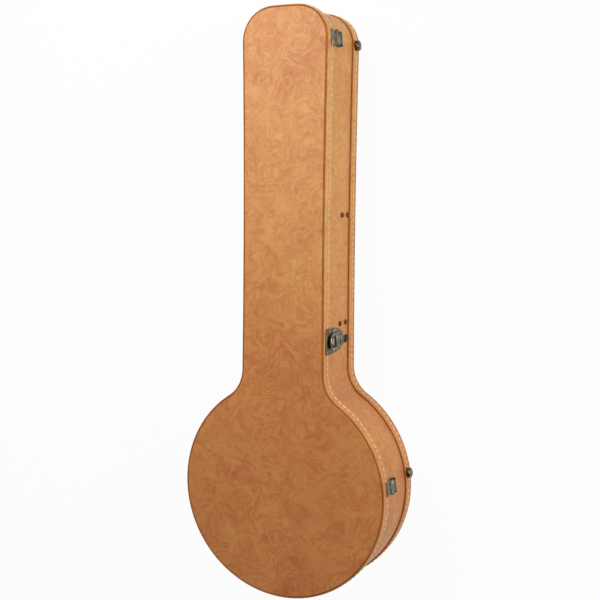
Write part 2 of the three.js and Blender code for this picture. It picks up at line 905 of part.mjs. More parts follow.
// Right half of the keeper's outline in Y and Z, with its lid end rounded
function keeperOutline(size, inset) {
  const wide = size.keeperHalfWidth - inset;
  const r = size.keeperRound - inset;
  const centre = [wide - r, size.keeperTop - inset - r];
  return [[wide, size.keeperFoot], ...roundedCorner(centre, r, 0, Math.PI / 2, knucklePoints)];
}

const mirrored = (pairs) => [...pairs, ...pairs.map(([y, z]) => [-y, z]).reverse()];

function plugCylinder(radius, from, to) {
  return new THREE.CylinderGeometry(radius, radius, to - from, roundSteps)
    .rotateZ(-Math.PI / 2)
    .translate((from + to) / 2, 0, lockPlugRise);
}

// Plate on the body with two ears that hold the lever's pin
function latchBase(size) {
  const low = seatGap;
  const top = low + size.sheet;
  const wide = size.halfWidth;
  const tip = size.baseTipHalfWidth;
  const fall = size.baseReach - size.baseShoulder;
  const curve = new THREE.QuadraticBezierCurve(
    new THREE.Vector2(wide, -size.baseShoulder),
    new THREE.Vector2(tip + (wide - tip) * bulgeShare, -size.baseShoulder - fall / 2),
    new THREE.Vector2(tip, -size.baseReach),
  );
  const plateOutline = [[wide, -size.baseTop], ...curve.getPoints(knucklePoints).map((p) => [p.x, p.y])];
  let base = solidOf(facing(mirrored(plateOutline), low, top));
  const inner = size.leverHalfWidth + seatGap;
  const ear = [
    [low, -size.pinDrop - size.knuckleRadius - 2 * size.sheet],
    ...roundedCorner([size.pinHeight, -size.pinDrop], size.knuckleRadius,
      -Math.PI / 4, Math.PI / 2, knucklePoints),
    [low, -size.pinDrop + size.knuckleRadius],
  ];
  for (const side of [-1, 1]) {
    const middle = side * (inner + size.earThickness / 2);
    const cheek = across(ear, size.earThickness / 2).translate(0, middle, 0);
    base = base.add(solidOf(cheek));
  }
  const bore = size.pinRadius + pinClearance;
  return base.subtract(latchRod(bore, size.pinHeight, -size.pinDrop, -wide, wide));
}

// Lever: a knuckle on the pin, a ribbed channel, a groove, a crossbar and a finger lip
function latchLever(size) {
  const t = size.leverSheet;
  const back = size.leverBack;
  const face = size.leverFace;
  const front = face + t;
  const bar = front + t / 2;
  const lip = face + size.leverLift;
  const groove = t / 2;
  const top = -size.leverTop;
  const grooveFoot = -size.grooveDrop - groove;
  const knuckleFoot = -size.pinDrop - size.knuckleRadius;
  const centre = [size.pinHeight, -size.pinDrop];
  const section = [
    [size.pinHeight, -size.pinDrop + size.knuckleRadius],
    ...roundedCorner(centre, size.knuckleRadius, ...knuckleArc, knucklePoints),
    [back, knuckleFoot],
    [back, -size.bailPivotDrop - size.bailWire - t],
    [face, -size.crossbarReach],
    [lip, -size.leverReach],
    [lip + t, -size.leverReach + t / 2],
    [front + t / 3, -size.crossbarReach - t / 2],
    [bar, -size.crossbarReach + t],
    [bar, grooveFoot - groove],
    [front + t / 5, grooveFoot],
    [face + groove, grooveFoot],
    [face + groove, -size.grooveDrop],
    [front, -size.grooveDrop],
    ...size.ribs.toReversed().flatMap((drop) => [
      [front, -drop - ribWidth / 2],
      [front - ribDepth, -drop],
      [front, -drop + ribWidth / 2],
    ]),
    [front, top - t / 2],
    [face + t / 2, top],
  ];
  const wide = size.leverHalfWidth;
  const flange = size.flangeHalfWidth;
  const reach = 2 * Math.max(wide, flange);
  const trim = [
    [wide, 0],
    [wide, -size.flangeDrop],
    [flange, -size.flangeDrop],
    [flange, -size.crossbarReach],
    [flange - t / 2, -size.leverReach + t / 2],
    [flange - t, -size.leverReach],
  ];
  const hollowTop = knuckleFoot - groove;
  const hollow = box(0, face, t - wide, wide - t, -size.bailPivotDrop + size.bailWire + t, hollowTop);
  const bailBore = size.bailWire + pinClearance;
  return solidOf(across(section, reach / 2))
    .intersect(solidOf(facing(mirrored(trim), 0, 2 * bar)))
    .subtract(solidOf(hollow))
    .subtract(latchRod(size.pinRadius + pinClearance, ...centre, -reach, reach))
    .subtract(latchRod(bailBore, size.bailPivotHeight, -size.bailPivotDrop, -reach, reach));
}

// Bail: one round wire, arched in front of the keeper, with its ends turned into the lever
function latchBail(size) {
  const half = size.bailHalfWidth;
  const foot = -size.bailPivotDrop;
  const top = size.bailTop;
  const arch = size.bailArch;
  const lean = (size.bailFace + size.bailWire - size.bailPivotHeight) / -foot;
  const place = (y, z) => {
    const rise = Math.min(z, 0) - foot;
    return new THREE.Vector3(size.bailPivotHeight + lean * rise, y, z);
  };
  const inner = size.leverHalfWidth - size.leverSheet;
  const bend = size.bailWire * 1.5;
  const legTop = top - arch;
  const curve = new THREE.CubicBezierCurve(
    new THREE.Vector2(half, legTop),
    new THREE.Vector2(half, legTop + arch * archShare),
    new THREE.Vector2(half * archShare, top),
    new THREE.Vector2(0, top),
  );
  const flat = [
    [inner, foot],
    [half - bend, foot],
    [half - bend / 3, foot + bend / 3],
    [half, foot + bend],
    [half, 0],
    ...curve.getPoints(archPoints).map((p) => [p.x, p.y]),
  ];
  const points = flat.map(([y, z]) => place(y, z));
  const other = points.slice(0, -1).reverse().map((p) => new THREE.Vector3(p.x, -p.y, p.z));
  return tube([...points, ...other], size.bailWire, wireSides);
}

// A round wire along points, with mitred bends
function tube(points, radius, sides) {
  const rings = points.map((p, i) => {
    const before = points[Math.max(i - 1, 0)];
    const after = points[Math.min(i + 1, points.length - 1)];
    const first = i > 0 ? p.clone().sub(before).normalize() : after.clone().sub(p).normalize();
    const second = i < points.length - 1 ? after.clone().sub(p).normalize() : first.clone();
    const along = first.clone().add(second).normalize();
    const stretch = 1 / along.dot(first);
    const side = new THREE.Vector3().crossVectors(along, new THREE.Vector3(1, 0, 0)).normalize();
    const out = new THREE.Vector3().crossVectors(side, along);
    return Array.from({ length: sides }, (_, k) => {
      const angle = (2 * Math.PI * (k + 0.5)) / sides;
      return p.clone()
        .addScaledVector(out, radius * Math.cos(angle))
        .addScaledVector(side, radius * stretch * Math.sin(angle));
    });
  });
  const faces = [];
  for (let i = 0; i + 1 < rings.length; i++) {
    faces.push(...bridge(i * sides, (i + 1) * sides, sides));
  }
  const shift = (rings.length - 1) * sides;
  for (let k = 1; k + 1 < sides; k++) {
    faces.push([0, k + 1, k], [shift, shift + k, shift + k + 1]);
  }
  return skin(rings.flat(), faces);
}

function latchPin(size) {
  const reach = size.leverHalfWidth + seatGap + size.earThickness + pinClearance;
  const head = size.pinRadius * headShare;
  const end = reach + size.headThickness;
  return latchRod(size.pinRadius, size.pinHeight, -size.pinDrop, -reach, reach)
    .add(latchRod(head, size.pinHeight, -size.pinDrop, -end, -reach))
    .add(latchRod(head, size.pinHeight, -size.pinDrop, reach, end));
}

function makeLatch(name, size, y, withLock) {
  const place = latchPlace(y);
  addPiece(name + "_catch", geometryOf(latchCatch(size, withLock)), agedBronze, place);
  addPiece(name + "_base", geometryOf(latchBase(size)), agedBronze, place);
  addPiece(name + "_lever", geometryOf(latchLever(size)), agedSteel, place);
  addPiece(name + "_bail", latchBail(size), agedSteel, place);
  addPiece(name + "_pin", geometryOf(latchPin(size)), agedBronze, place);
  return place;
}

function makeLockPlug(place) {
  const foot = seatGap + lockLatch.sheet + seatGap;
  const face = lockLatch.keeperFace + lockPlugProud;
  const slot = box(
    face - keySlotDepth, face + keySlotDepth, -keySlotWidth / 2, keySlotWidth / 2,
    lockPlugRise - keySlotLength / 2, lockPlugRise + keySlotLength / 2,
  );
  const plug = solidOf(plugCylinder(lockPlugRadius, foot, face)).subtract(solidOf(slot));
  addPiece("lock_key_plug", geometryOf(plug), agedSteel, place);
}

function makeGrip(place) {
  const size = lockLatch;
  const from = size.leverReach + seatGap;
  const x = size.leverFace + size.leverLift;
  const half = gripHalfWidth;
  const gripOutline = [
    [half * gripNeckShare, -from],
    ...roundedCorner([0, -from - gripLength + half], half, 0, -Math.PI, 2 * knucklePoints),
    [-half * gripNeckShare, -from],
  ];
  const grip = facing(gripOutline, x - gripThickness / 2, x + gripThickness / 2);
  addPiece("lock_finger_grip", geometryOf(solidOf(grip)), blackGrip, place);
}

function makeLatches() {
  makeLatch("top_latch", smallLatch, topLatchY, false);
  makeLatch("low_latch", smallLatch, lowLatchY, false);
  const place = makeLatch("lock", lockLatch, lockY, true);
  makeLockPlug(place);
  makeGrip(place);
}

// Buttons and rivets

const headProfile = (shares, radius, height) =>
  shares.map(([across, rise]) => new THREE.Vector2(radius * across, height * rise));

function addStud(name, profile, y, z, offset, side) {
  const seat = seatAt(y);
  const stud = new THREE.LatheGeometry(profile, roundSteps).rotateZ(-Math.PI / 2);
  stud.translate(offset, 0, 0);
  const made = geometryOf(solidOf(stud));
  const place = new THREE.Group();
  place.position.set(side * seat.x, seat.y, z);
  place.rotation.z = side > 0 ? seat.angle : Math.PI - seat.angle;
  bodies.add(place);
  addPiece(name, made, agedBronze, place);
}

function makeStuds() {
  const button = headProfile(buttonShares, buttonRadius, buttonHeight);
  const proud = bandProud + seatGap;
  addStud("latch_side_top_button", button, topButtonY, buttonRise, proud, 1);
  addStud("latch_side_low_button", button, lowButtonY, buttonRise, proud, 1);
  addStud("hinge_side_top_button", button, topButtonY, buttonRise, proud, -1);
  addStud("hinge_side_low_button", button, lowButtonY, buttonRise, proud, -1);
  const rivet = headProfile(rivetShares, rivetRadius, rivetHeight);
  for (const [row, y] of rivetRows.entries()) {
    for (const [column, z] of rivetRises[row].entries()) {
      addStud(`handle_rivet_${row + 1}_${column + 1}`, rivet, y, z, seatGap, 1);
    }
  }
}

makeShell();
makeLinings();
makePotPads();
makeCradle();
makeHeadstockPad();
makeCompartment();
makeHinges();
makeLatches();
makeStuds();

export default bodies;
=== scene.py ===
import math

import bmesh
import bpy
import numpy as np
from mathutils import Matrix, Vector
from mathutils.bvhtree import BVHTree


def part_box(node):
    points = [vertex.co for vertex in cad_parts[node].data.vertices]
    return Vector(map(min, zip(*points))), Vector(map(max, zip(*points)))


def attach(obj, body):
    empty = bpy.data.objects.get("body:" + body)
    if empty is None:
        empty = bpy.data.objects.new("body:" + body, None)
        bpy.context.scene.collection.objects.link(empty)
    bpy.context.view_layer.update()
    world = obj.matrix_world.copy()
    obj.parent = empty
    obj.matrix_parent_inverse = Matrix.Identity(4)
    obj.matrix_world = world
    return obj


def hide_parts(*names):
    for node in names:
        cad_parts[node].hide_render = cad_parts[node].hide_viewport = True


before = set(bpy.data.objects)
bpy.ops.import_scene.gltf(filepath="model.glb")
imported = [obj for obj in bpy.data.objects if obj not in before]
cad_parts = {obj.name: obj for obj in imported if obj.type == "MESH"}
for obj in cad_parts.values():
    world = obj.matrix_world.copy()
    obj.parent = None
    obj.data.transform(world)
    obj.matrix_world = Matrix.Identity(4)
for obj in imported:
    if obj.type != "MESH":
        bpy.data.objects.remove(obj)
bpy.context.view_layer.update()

# Side walls: two bent plywood hoops, one for the body and one for the lid, glued and tacked
# to their boards and covered in marbled tan vinyl. The lid's hoop closes onto the body's.
MM = 0.001
POT_RADIUS = 190 * MM
END_REACH = 832.8 * MM
NECK_HALF_AT_POT = 76.5 * MM
NECK_HALF_AT_END = 78.6 * MM
NECK_DRAW_IN = 2.4 * MM
CORNER_RADIUS = 55 * MM
END_CROWN = 4.2 * MM
WAIST_RADIUS = 61 * MM
CASE_DEPTH = 137.5 * MM
PARTING = 99.2 * MM
BOARD = 6.5 * MM
WALL = 7 * MM
SEAM = 0.3 * MM
OUTLINE_STEP = 2.4 * MM
PARTING_GAP = 0.2 * MM
BOARD_FOLD = 0.3 * MM
PARTING_FOLD = 0.8 * MM
WELD = 1e-6
CAD_WELD = 2e-6


def case_outline():
    """Points and outward normals round the wall's outer face, anticlockwise."""
    side = np.array([NECK_HALF_AT_END - NECK_HALF_AT_POT, END_REACH - POT_RADIUS])
    side /= np.hypot(*side)
    out = np.array([side[1], -side[0]])
    foot = np.array([NECK_HALF_AT_POT, POT_RADIUS])

    def meet(start, centre, radius):
        away = start - centre
        along = away @ side
        return start + side * (-along + math.sqrt(along ** 2 - away @ away + radius ** 2))

    waist = meet(foot + out * WAIST_RADIUS, np.zeros(2), POT_RADIUS + WAIST_RADIUS)
    end_radius = (NECK_HALF_AT_END ** 2 + END_CROWN ** 2) / (2 * END_CROWN)
    end = np.array([0, END_REACH - end_radius])
    on_side = waist - out * WAIST_RADIUS
    corner = meet(on_side - out * CORNER_RADIUS, end, end_radius - CORNER_RADIUS)

    def arc(centre, radius, start, stop):
        count = max(3, round(abs(stop - start) * radius / OUTLINE_STEP))
        angles = np.linspace(start, stop, count + 1)[1:]
        return centre + radius * np.column_stack([np.cos(angles), np.sin(angles)])

    pot_join = math.atan2(waist[1], waist[0])
    side_angle = math.atan2(out[1], out[0])
    end_angle = math.atan2(corner[1] - end[1], corner[0] - end[0])
    side_end = corner + out * CORNER_RADIUS
    side_steps = round(np.hypot(*(side_end - on_side)) / OUTLINE_STEP)
    steps = np.linspace(0, 1, side_steps + 1)[1:, None]
    straight = on_side * (1 - steps) + side_end * steps
    half = np.vstack([
        [[0, -POT_RADIUS]],
        arc(np.zeros(2), POT_RADIUS, -math.pi / 2, pot_join),
        arc(waist, WAIST_RADIUS, pot_join + math.pi, math.pi + side_angle),
        straight,
        arc(corner, CORNER_RADIUS, side_angle, end_angle),
        arc(end, end_radius, end_angle, math.pi / 2),
    ])
    share = (half[:, 1] - POT_RADIUS) / (END_REACH - POT_RADIUS)
    drawn = np.where((share > 0) & (share < 1), 4 * share * (1 - share), 0)
    half[:, 0] -= NECK_DRAW_IN * drawn * np.clip(half[:, 0] / NECK_HALF_AT_POT, 0, 1)
    points = np.vstack([half, half[1:-1][::-1] * [-1, 1]])
    ahead = np.roll(points, -1, axis=0) - points
    unit = ahead / np.hypot(*ahead.T)[:, None]
    tangent = unit + np.roll(unit, 1, axis=0)
    tangent /= np.hypot(*tangent.T)[:, None]
    normals = np.column_stack([tangent[:, 1], -tangent[:, 0]])
    return points, normals


OUTLINE, OUTWARD = case_outline()


def shown(name, data):
    """A new object in the scene, made of a mesh, curve, lamp or camera."""
    made = bpy.data.objects.new(name, data)
    bpy.context.scene.collection.objects.link(made)
    return made


def settled(shape):
    """The plain mesh that an object's modifiers make of it."""
    done = shape.evaluated_get(bpy.context.evaluated_depsgraph_get())
    return bpy.data.meshes.new_from_object(done)


def piece_from(name, points, faces, smooth_angle=40):
    """A mesh object in the object's frame, with its faces pointing out and sharp edges kept."""
    mesh = bpy.data.meshes.new(name)
    mesh.from_pydata([tuple(p) for p in points], [], faces)
    shape = bmesh.new()
    shape.from_mesh(mesh)
    bmesh.ops.remove_doubles(shape, verts=shape.verts, dist=WELD)
    if shape.calc_volume(signed=True) < 0:
        bmesh.ops.reverse_faces(shape, faces=shape.faces)
    shape.to_mesh(mesh)
    shape.free()
    mesh.shade_smooth()
    mesh.set_sharp_from_angle(angle=math.radians(smooth_angle))
    return shown(name, mesh)


def ring(offset, z):
    """The outline at one offset from the wall, or one for each of its points, and one height."""
    flat = OUTLINE + OUTWARD * np.reshape(offset, (-1, 1))
    return np.column_stack([flat, np.full(len(OUTLINE), z)])


def ring_to_ring(first, second, around):
    """Faces from one ring of points to another, each given by the number of its first point."""
    return [(first + k, first + (k + 1) % around, second + (k + 1) % around, second + k)
            for k in range(around)]


def hoop(name, section, smooth_angle=40):
    """A closed section, as pairs of offset from the wall and height, taken once round the case."""
    rings = [ring(offset, z) for offset, z in section]
    count = len(OUTLINE)
    faces = []
    for i in range(len(section)):
        faces += ring_to_ring(i * count, (i + 1) % len(section) * count, count)
    return piece_from(name, np.vstack(rings), faces, smooth_angle)


def filled_row(around, rings):
    """Faces of a row of rings joined in order, with the first and the last one filled."""
    faces = [tuple(range(around))[::-1]]
    for i in range(rings - 1):
        faces += ring_to_ring(i * around, (i + 1) * around, around)
    last = (rings - 1) * around
    return faces + [tuple(range(last, last + around))]


def rounded(centre, radius, start, stop, steps=5):
    """Points of a rounded corner in a section."""
    return [(centre[0] + radius * math.cos(math.radians(a)),
             centre[1] + radius * math.sin(math.radians(a)))
            for a in np.linspace(start, stop, steps + 1)]


def linear(red, green, blue):
    """A colour read as 0 to 255 in display values, as the shader wants it."""
    def one(value):
        value /= 255
        return value / 12.92 if value <= 0.04045 else ((value + 0.055) / 1.055) ** 2.4
    return one(red), one(green), one(blue), 1


class Wire:
    """A number or colour on its way through a material, which takes part in Python sums."""

    def __init__(self, finish, socket):
        self.finish = finish
        self.socket = socket

    def sum(self, operation, *values):
        return self.finish.node("ShaderNodeMath", {"operation": operation},
                                dict(enumerate(values)))

    def __add__(self, other):
        return self.sum("ADD", self, other)

    def __sub__(self, other):
        return self.sum("SUBTRACT", self, other)

    def __rsub__(self, other):
        return self.sum("SUBTRACT", other, self)

    def __mul__(self, other):
        return self.sum("MULTIPLY", self, other)

    def sine(self):
        return self.sum("SINE", self)

    def size(self):
        return self.sum("ABSOLUTE", self)

    def between(self, low, high):
        """0 below low, 1 above high and smooth between them."""
        return self.finish.node(
            "ShaderNodeMapRange", {"interpolation_type": "SMOOTHSTEP"},
            {"Value": self, "From Min": low, "From Max": high, "To Min": 0.0, "To Max": 1.0})


class Finish:
    """A material under construction."""

    def __init__(self, name, roughness=0.5, metallic=0.0):
        self.material = bpy.data.materials.new(name)
        self.material.use_nodes = True
        self.tree = self.material.node_tree
        self.shader = self.tree.nodes["Principled BSDF"]
        self.set("Roughness", roughness)
        self.set("Metallic", metallic)
        self.place = self.node("ShaderNodeTexCoord", output="Object")

    def node(self, kind, settings=None, sockets=None, output=0):
        made = self.tree.nodes.new(kind)
        for key, value in (settings or {}).items():
            setattr(made, key, value)
        for key, value in (sockets or {}).items():
            self.feed(made.inputs[key], value)
        return Wire(self, made.outputs[output])

    def feed(self, socket, value):
        if isinstance(value, Wire):
            self.tree.links.new(value.socket, socket)
        else:
            socket.default_value = value

    def set(self, name, value):
        self.feed(self.shader.inputs[name], value)

    def noise(self, scale, detail=2.0, rough=0.5, distortion=0.0, place=None, output="Fac"):
        return self.node("ShaderNodeTexNoise", {}, {
            "Vector": place or self.place, "Scale": scale, "Detail": detail,
            "Roughness": rough, "Distortion": distortion}, output)

    def along(self, axis):
        """The coordinate along one axis of the object's frame."""
        return self.node("ShaderNodeSeparateXYZ", {}, {0: self.place}, axis)

    def blend(self, factor, first, second, how="MIX"):
        settings = {"data_type": "RGBA", "blend_type": how, "clamp_factor": True}
        made = self.tree.nodes.new("ShaderNodeMix")
        for key, value in settings.items():
            setattr(made, key, value)
        self.feed(made.inputs[0], factor)
        self.feed(made.inputs[6], first)
        self.feed(made.inputs[7], second)
        return Wire(self, made.outputs[2])

    def bump(self, height, strength, distance):
        made = self.node("ShaderNodeBump", {}, {
            "Height": height, "Strength": strength, "Distance": distance}, "Normal")
        self.set("Normal", made)


# Painted shade on all the vinyl: full over the far half of the pot, fading to none toward the
# headstock.
POT_SHADE_FULL_Y, POT_SHADE_END_Y = 0.0, 0.62
POT_SHADE_TINT = (0.9, 0.765, 0.72, 1)
VINYL_GRAIN = 0.25


def marbled_vinyl(name, gold, rust, brown):
    """Tan vinyl printed with burl swirls, with a pressed grain, and darkened toward the pot by
    painted shade."""
    made = Finish(name)
    drift = made.noise(17.0, 2.0, output="Color")
    curled = made.node("ShaderNodeVectorMath", {"operation": "MULTIPLY_ADD"},
                       {0: drift, 1: (0.07,) * 3, 2: made.place})
    cells = made.noise(21.0, 1.4, 0.45, 0.7, curled)
    swirls = (cells * 58.0).sine() * 0.5 + 0.5
    knots = made.noise(52.0, 1.6, 0.5, 0.9, curled)
    curls = (knots * 34.0).sine() * 0.5 + 0.5
    swirl_room = made.noise(13.0, 1.0).between(0.4, 0.6)
    eyes = made.node("ShaderNodeTexVoronoi", {"feature": "F1"},
                     {"Vector": curled, "Scale": 74.0, "Randomness": 1.0}, "Distance")
    eye_ring = 1 - (eyes - 0.3).size().between(0.03, 0.16)
    eye_room = made.noise(30.0, 1.0).between(0.5, 0.62)
    patches = made.noise(27.0, 3.0, 0.55, 1.2, curled).between(0.4, 0.68)
    clouds = made.noise(6.5, 2.0, 0.5, 0.6).between(0.36, 0.66)
    mottle = made.noise(170.0, 3.0, 0.6).between(0.35, 0.7)
    lines = swirls.between(0.55, 1.0) * (swirl_room * 0.7 + 0.15)
    lines = lines + curls.between(0.5, 1.0) * (0.55 - swirl_room * 0.4)
    rustiness = patches * 0.36 + clouds * 0.3 + mottle * 0.14
    colour = made.blend(rustiness, linear(*gold), linear(*rust))
    amber = made.noise(19.0, 2.0, 0.5, 0.8).between(0.5, 0.66)
    colour = made.blend(amber * 0.22, colour, linear(218, 152, 66))
    blush = made.noise(15.0, 2.0, 0.5, 0.8, curled).between(0.54, 0.68)
    colour = made.blend(blush * 0.26, colour, linear(206, 108, 62))
    colour = made.blend((1 - swirls).between(0.6, 1.0) * 0.2, colour, linear(246, 190, 122))
    colour = made.blend(lines * 0.27, colour, linear(*brown))
    colour = made.blend(eye_ring * eye_room * 0.3, colour, linear(*brown))
    specks = made.noise(300.0, 1.0, 0.5).between(0.68, 0.74)
    colour = made.blend(specks * 0.35, colour, linear(*brown))
    # Painted shade: the colour is multiplied darker toward the pot.
    deep = 1 - made.along("Y").between(POT_SHADE_FULL_Y, POT_SHADE_END_Y)
    colour = made.blend(deep, colour, POT_SHADE_TINT, "MULTIPLY")
    made.set("Base Color", colour)
    pores = made.noise(1100.0, 2.0, 0.6)
    creases = made.node("ShaderNodeTexVoronoi", {"feature": "DISTANCE_TO_EDGE"},
                        {"Vector": made.place, "Scale": 620.0}, "Distance").between(0.0, 0.16)
    made.set("Roughness", mottle * 0.1 + pores * 0.08 + 0.4)
    made.bump(pores * 0.5 + creases * 0.5, VINYL_GRAIN, 0.0004)
    return made.material


PANEL_VINYL = marbled_vinyl("panel_vinyl", (234, 168, 94), (212, 122, 68), (186, 98, 44))
WALL_VINYL = marbled_vinyl("wall_vinyl", (220, 158, 74), (203, 127, 61), (188, 113, 50))


def covered(piece, material, body, slot, *nodes):
    """Gives a finished piece its material, its body and the solids that it stands for."""
    if material:
        piece.data.materials.clear()
        piece.data.materials.append(material)
    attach(piece, body)
    if nodes:
        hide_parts(*nodes)
    return piece


def wall_section(foot, top, fold):
    """Wall with the vinyl turned over its free edge; fold is the rounding at foot and top."""
    low, high = fold
    inner = -WALL
    return (rounded((-low, foot + low), low, -90, 0, 3)
            + rounded((-high, top - high), high, 0, 90, 3)
            + rounded((inner + high, top - high), high, 90, 180, 3)
            + rounded((inner + low, foot + low), low, 180, 270, 3))


body_wall = hoop("body_wall_vinyl",
                 wall_section(BOARD + SEAM, PARTING - PARTING_GAP, (BOARD_FOLD, PARTING_FOLD)))
covered(body_wall, WALL_VINYL, "case_body", "side_cover", "body_side_wall")
lid_wall = hoop("lid_wall_vinyl",
                wall_section(PARTING + PARTING_GAP, CASE_DEPTH - BOARD - SEAM,
                             (PARTING_FOLD, BOARD_FOLD)))
covered(lid_wall, WALL_VINYL, "lid", "side_cover", "lid_side_wall")

# Boards: the flat lid and back, plywood under the same vinyl over a thin felt, so that the
# cover rolls softly down to the piping at their edges.
PIPING_RADIUS = 1 * MM
PIPING_PROUD = 0.5 * MM
BOARD_EDGE = PIPING_PROUD - PIPING_RADIUS - SEAM
ROLL_WIDTH = 2 * MM
ROLL_DEPTH = 0.9 * MM
ROLL_MARGIN = 2 * MM
INNER_MARGIN = 4 * MM


def slab(name, levels, smooth_angle=50):
    """Rings of the outline joined in order, with both ends filled."""
    points = np.vstack([ring(*level) for level in levels])
    return piece_from(name, points, filled_row(len(OUTLINE), len(levels)), smooth_angle)


def board(name, flat_z, inner_z):
    """A board's cover from its inner face round its edge to the flat outer face."""
    turn = math.copysign(1, flat_z - inner_z)
    levels = [(BOARD_EDGE - INNER_MARGIN, inner_z), (BOARD_EDGE, inner_z)]
    for a in np.linspace(0, math.pi / 2, 9):
        levels.append((BOARD_EDGE - ROLL_WIDTH * (1 - math.cos(a)),
                       flat_z - turn * ROLL_DEPTH * (1 - math.sin(a))))
    levels.append((BOARD_EDGE - ROLL_WIDTH - ROLL_MARGIN, flat_z))
    return slab(name, levels)


covered(board("lid_board_vinyl", CASE_DEPTH, CASE_DEPTH - BOARD),
        PANEL_VINYL, "lid", "panel_cover", "lid_panel")
covered(board("back_board_vinyl", 0, BOARD),
        PANEL_VINYL, "case_body", "panel_cover", "back_panel")

# Edge bands: a second layer of vinyl folded over card, sewn round the wall at the front and
# at the back. They stand proud of it, and the thread draws them in at each of its holes.
BAND_PROUD = 2.9 * MM
BAND_ROUND = 1.1 * MM
LID_BAND_FOOT = CASE_DEPTH - 21 * MM
LID_PIPING_Z = CASE_DEPTH - PIPING_RADIUS - SEAM / 2
BACK_PIPING_RADIUS = 1.7 * MM
BACK_PIPING_PROUD = 1.2 * MM
BACK_PIPING_Z = BACK_PIPING_RADIUS + SEAM / 2
BACK_BAND_TOP = 23.8 * MM
LID_STITCH_Z = CASE_DEPTH - 17.2 * MM
BACK_STITCH_Z = 12.6 * MM
STITCH_PITCH = 10.6 * MM
STITCH_LENGTH = 9.5 * MM
STITCH_THICKNESS = 2.3 * MM
STITCH_SUNK = 0.2 * MM
PULL_HEIGHT = 2.6 * MM
SAG_HEIGHT = 6.5 * MM
BAND_VINYL = marbled_vinyl("band_vinyl", (230, 168, 84), (213, 138, 70), (190, 116, 52))

band_line = OUTLINE + OUTWARD * BAND_PROUD
band_steps = np.hypot(*(np.roll(band_line, -1, axis=0) - band_line).T)
BAND_RUN = np.concatenate([[0], np.cumsum(band_steps)])
STITCH_COUNT = round(BAND_RUN[-1] / STITCH_PITCH)
HOLE_TURN = 2 * math.pi * STITCH_COUNT / BAND_RUN[-1] * BAND_RUN[:-1]


def band(name, foot, top, stitch_z):
    """A band with folded edges, puckered between its stitches along one height."""
    lines = [(SEAM, foot, 0)]
    lines += [(x, z, 0.4) for x, z in
              rounded((BAND_PROUD - BAND_ROUND, foot + BAND_ROUND), BAND_ROUND, -90, 0, 4)]
    heights = np.linspace(foot + 2 * BAND_ROUND, top - 2 * BAND_ROUND, 13)
    lines += [(BAND_PROUD, z, 1) for z in heights]
    lines += [(x, z, 0.4) for x, z in
              rounded((BAND_PROUD - BAND_ROUND, top - BAND_ROUND), BAND_ROUND, 0, 90, 4)]
    lines.append((SEAM, top, 0))
    drift = 0.5 + 0.3 * np.sin(HOLE_TURN * 0.37 + 1) + 0.2 * np.sin(HOLE_TURN * 0.71)
    section = []
    for offset, z, free in lines:
        near = math.exp(-((z - stitch_z) / PULL_HEIGHT) ** 2)
        wide = math.exp(-((z - stitch_z) / SAG_HEIGHT) ** 2)
        hole = 0.5 - 0.5 * np.cos(HOLE_TURN)
        pulled = free * (near * (0.3 + 0.45 * hole) + wide * (0.18 * hole + 0.2 * drift))
        section.append((offset - pulled * MM, z))
    return hoop(name, section, 70)


lid_band_top = LID_PIPING_Z - PIPING_RADIUS - SEAM
back_band_foot = BACK_PIPING_Z + BACK_PIPING_RADIUS + SEAM
covered(band("lid_band_vinyl", LID_BAND_FOOT, lid_band_top, LID_STITCH_Z),
        BAND_VINYL, "lid", "stitched_band", "lid_edge_band")
covered(band("back_band_vinyl", back_band_foot, BACK_BAND_TOP, BACK_STITCH_Z),
        BAND_VINYL, "case_body", "stitched_band", "back_edge_band")

# Piping: rust-brown vinyl over a cord, sewn into the seam between each board and its band,
# and a thinner welt of the same along the back band's upper edge.
WELT_RADIUS = 0.8 * MM
pipe = Finish("piping_vinyl")
pipe_cloud = pipe.noise(30.0, 3.0, 0.6).between(0.35, 0.7)
pipe_fine = pipe.noise(700.0, 2.0)
pipe.set("Base Color", pipe.blend(pipe_cloud * 0.7 + pipe_fine * 0.2,
                                  linear(160, 80, 4), linear(196, 114, 20)))
pipe.set("Roughness", pipe_fine * 0.2 + 0.34)
pipe.bump(pipe_fine, 0.3, 0.0003)
PIPING_VINYL = pipe.material


def bead(name, offset, z, radius):
    return hoop(name, rounded((offset, z), radius, 0, 337.5, 15), 180)


covered(bead("lid_piping_bead", PIPING_PROUD, LID_PIPING_Z, PIPING_RADIUS),
        PIPING_VINYL, "lid", "piping", "lid_corner_piping")
covered(bead("back_piping_bead", BACK_PIPING_PROUD, BACK_PIPING_Z, BACK_PIPING_RADIUS),
        PIPING_VINYL, "case_body", "piping", "back_corner_piping")
welt_z = BACK_BAND_TOP + SEAM + WELT_RADIUS
covered(bead("back_welt_bead", SEAM + WELT_RADIUS, welt_z, WELT_RADIUS),
        PIPING_VINYL, "case_body", "piping", "back_band_welt")

# Stitching: one line of waxed yellow thread along each band, each stitch lying on the vinyl
# with its two ends pulled into their holes. The photograph doesn't settle the pitch.
thread = Finish("stitch_thread", roughness=0.55)
twist = thread.node("ShaderNodeTexWave", {"bands_direction": "DIAGONAL"},
                    {"Vector": thread.place, "Scale": 420.0, "Distortion": 2.0}, "Fac")
thread.set("Base Color", thread.blend(twist * 0.4, linear(255, 232, 172), linear(242, 200, 132)))
thread.bump(twist, 0.5, 0.0003)
STITCH_THREAD = thread.material


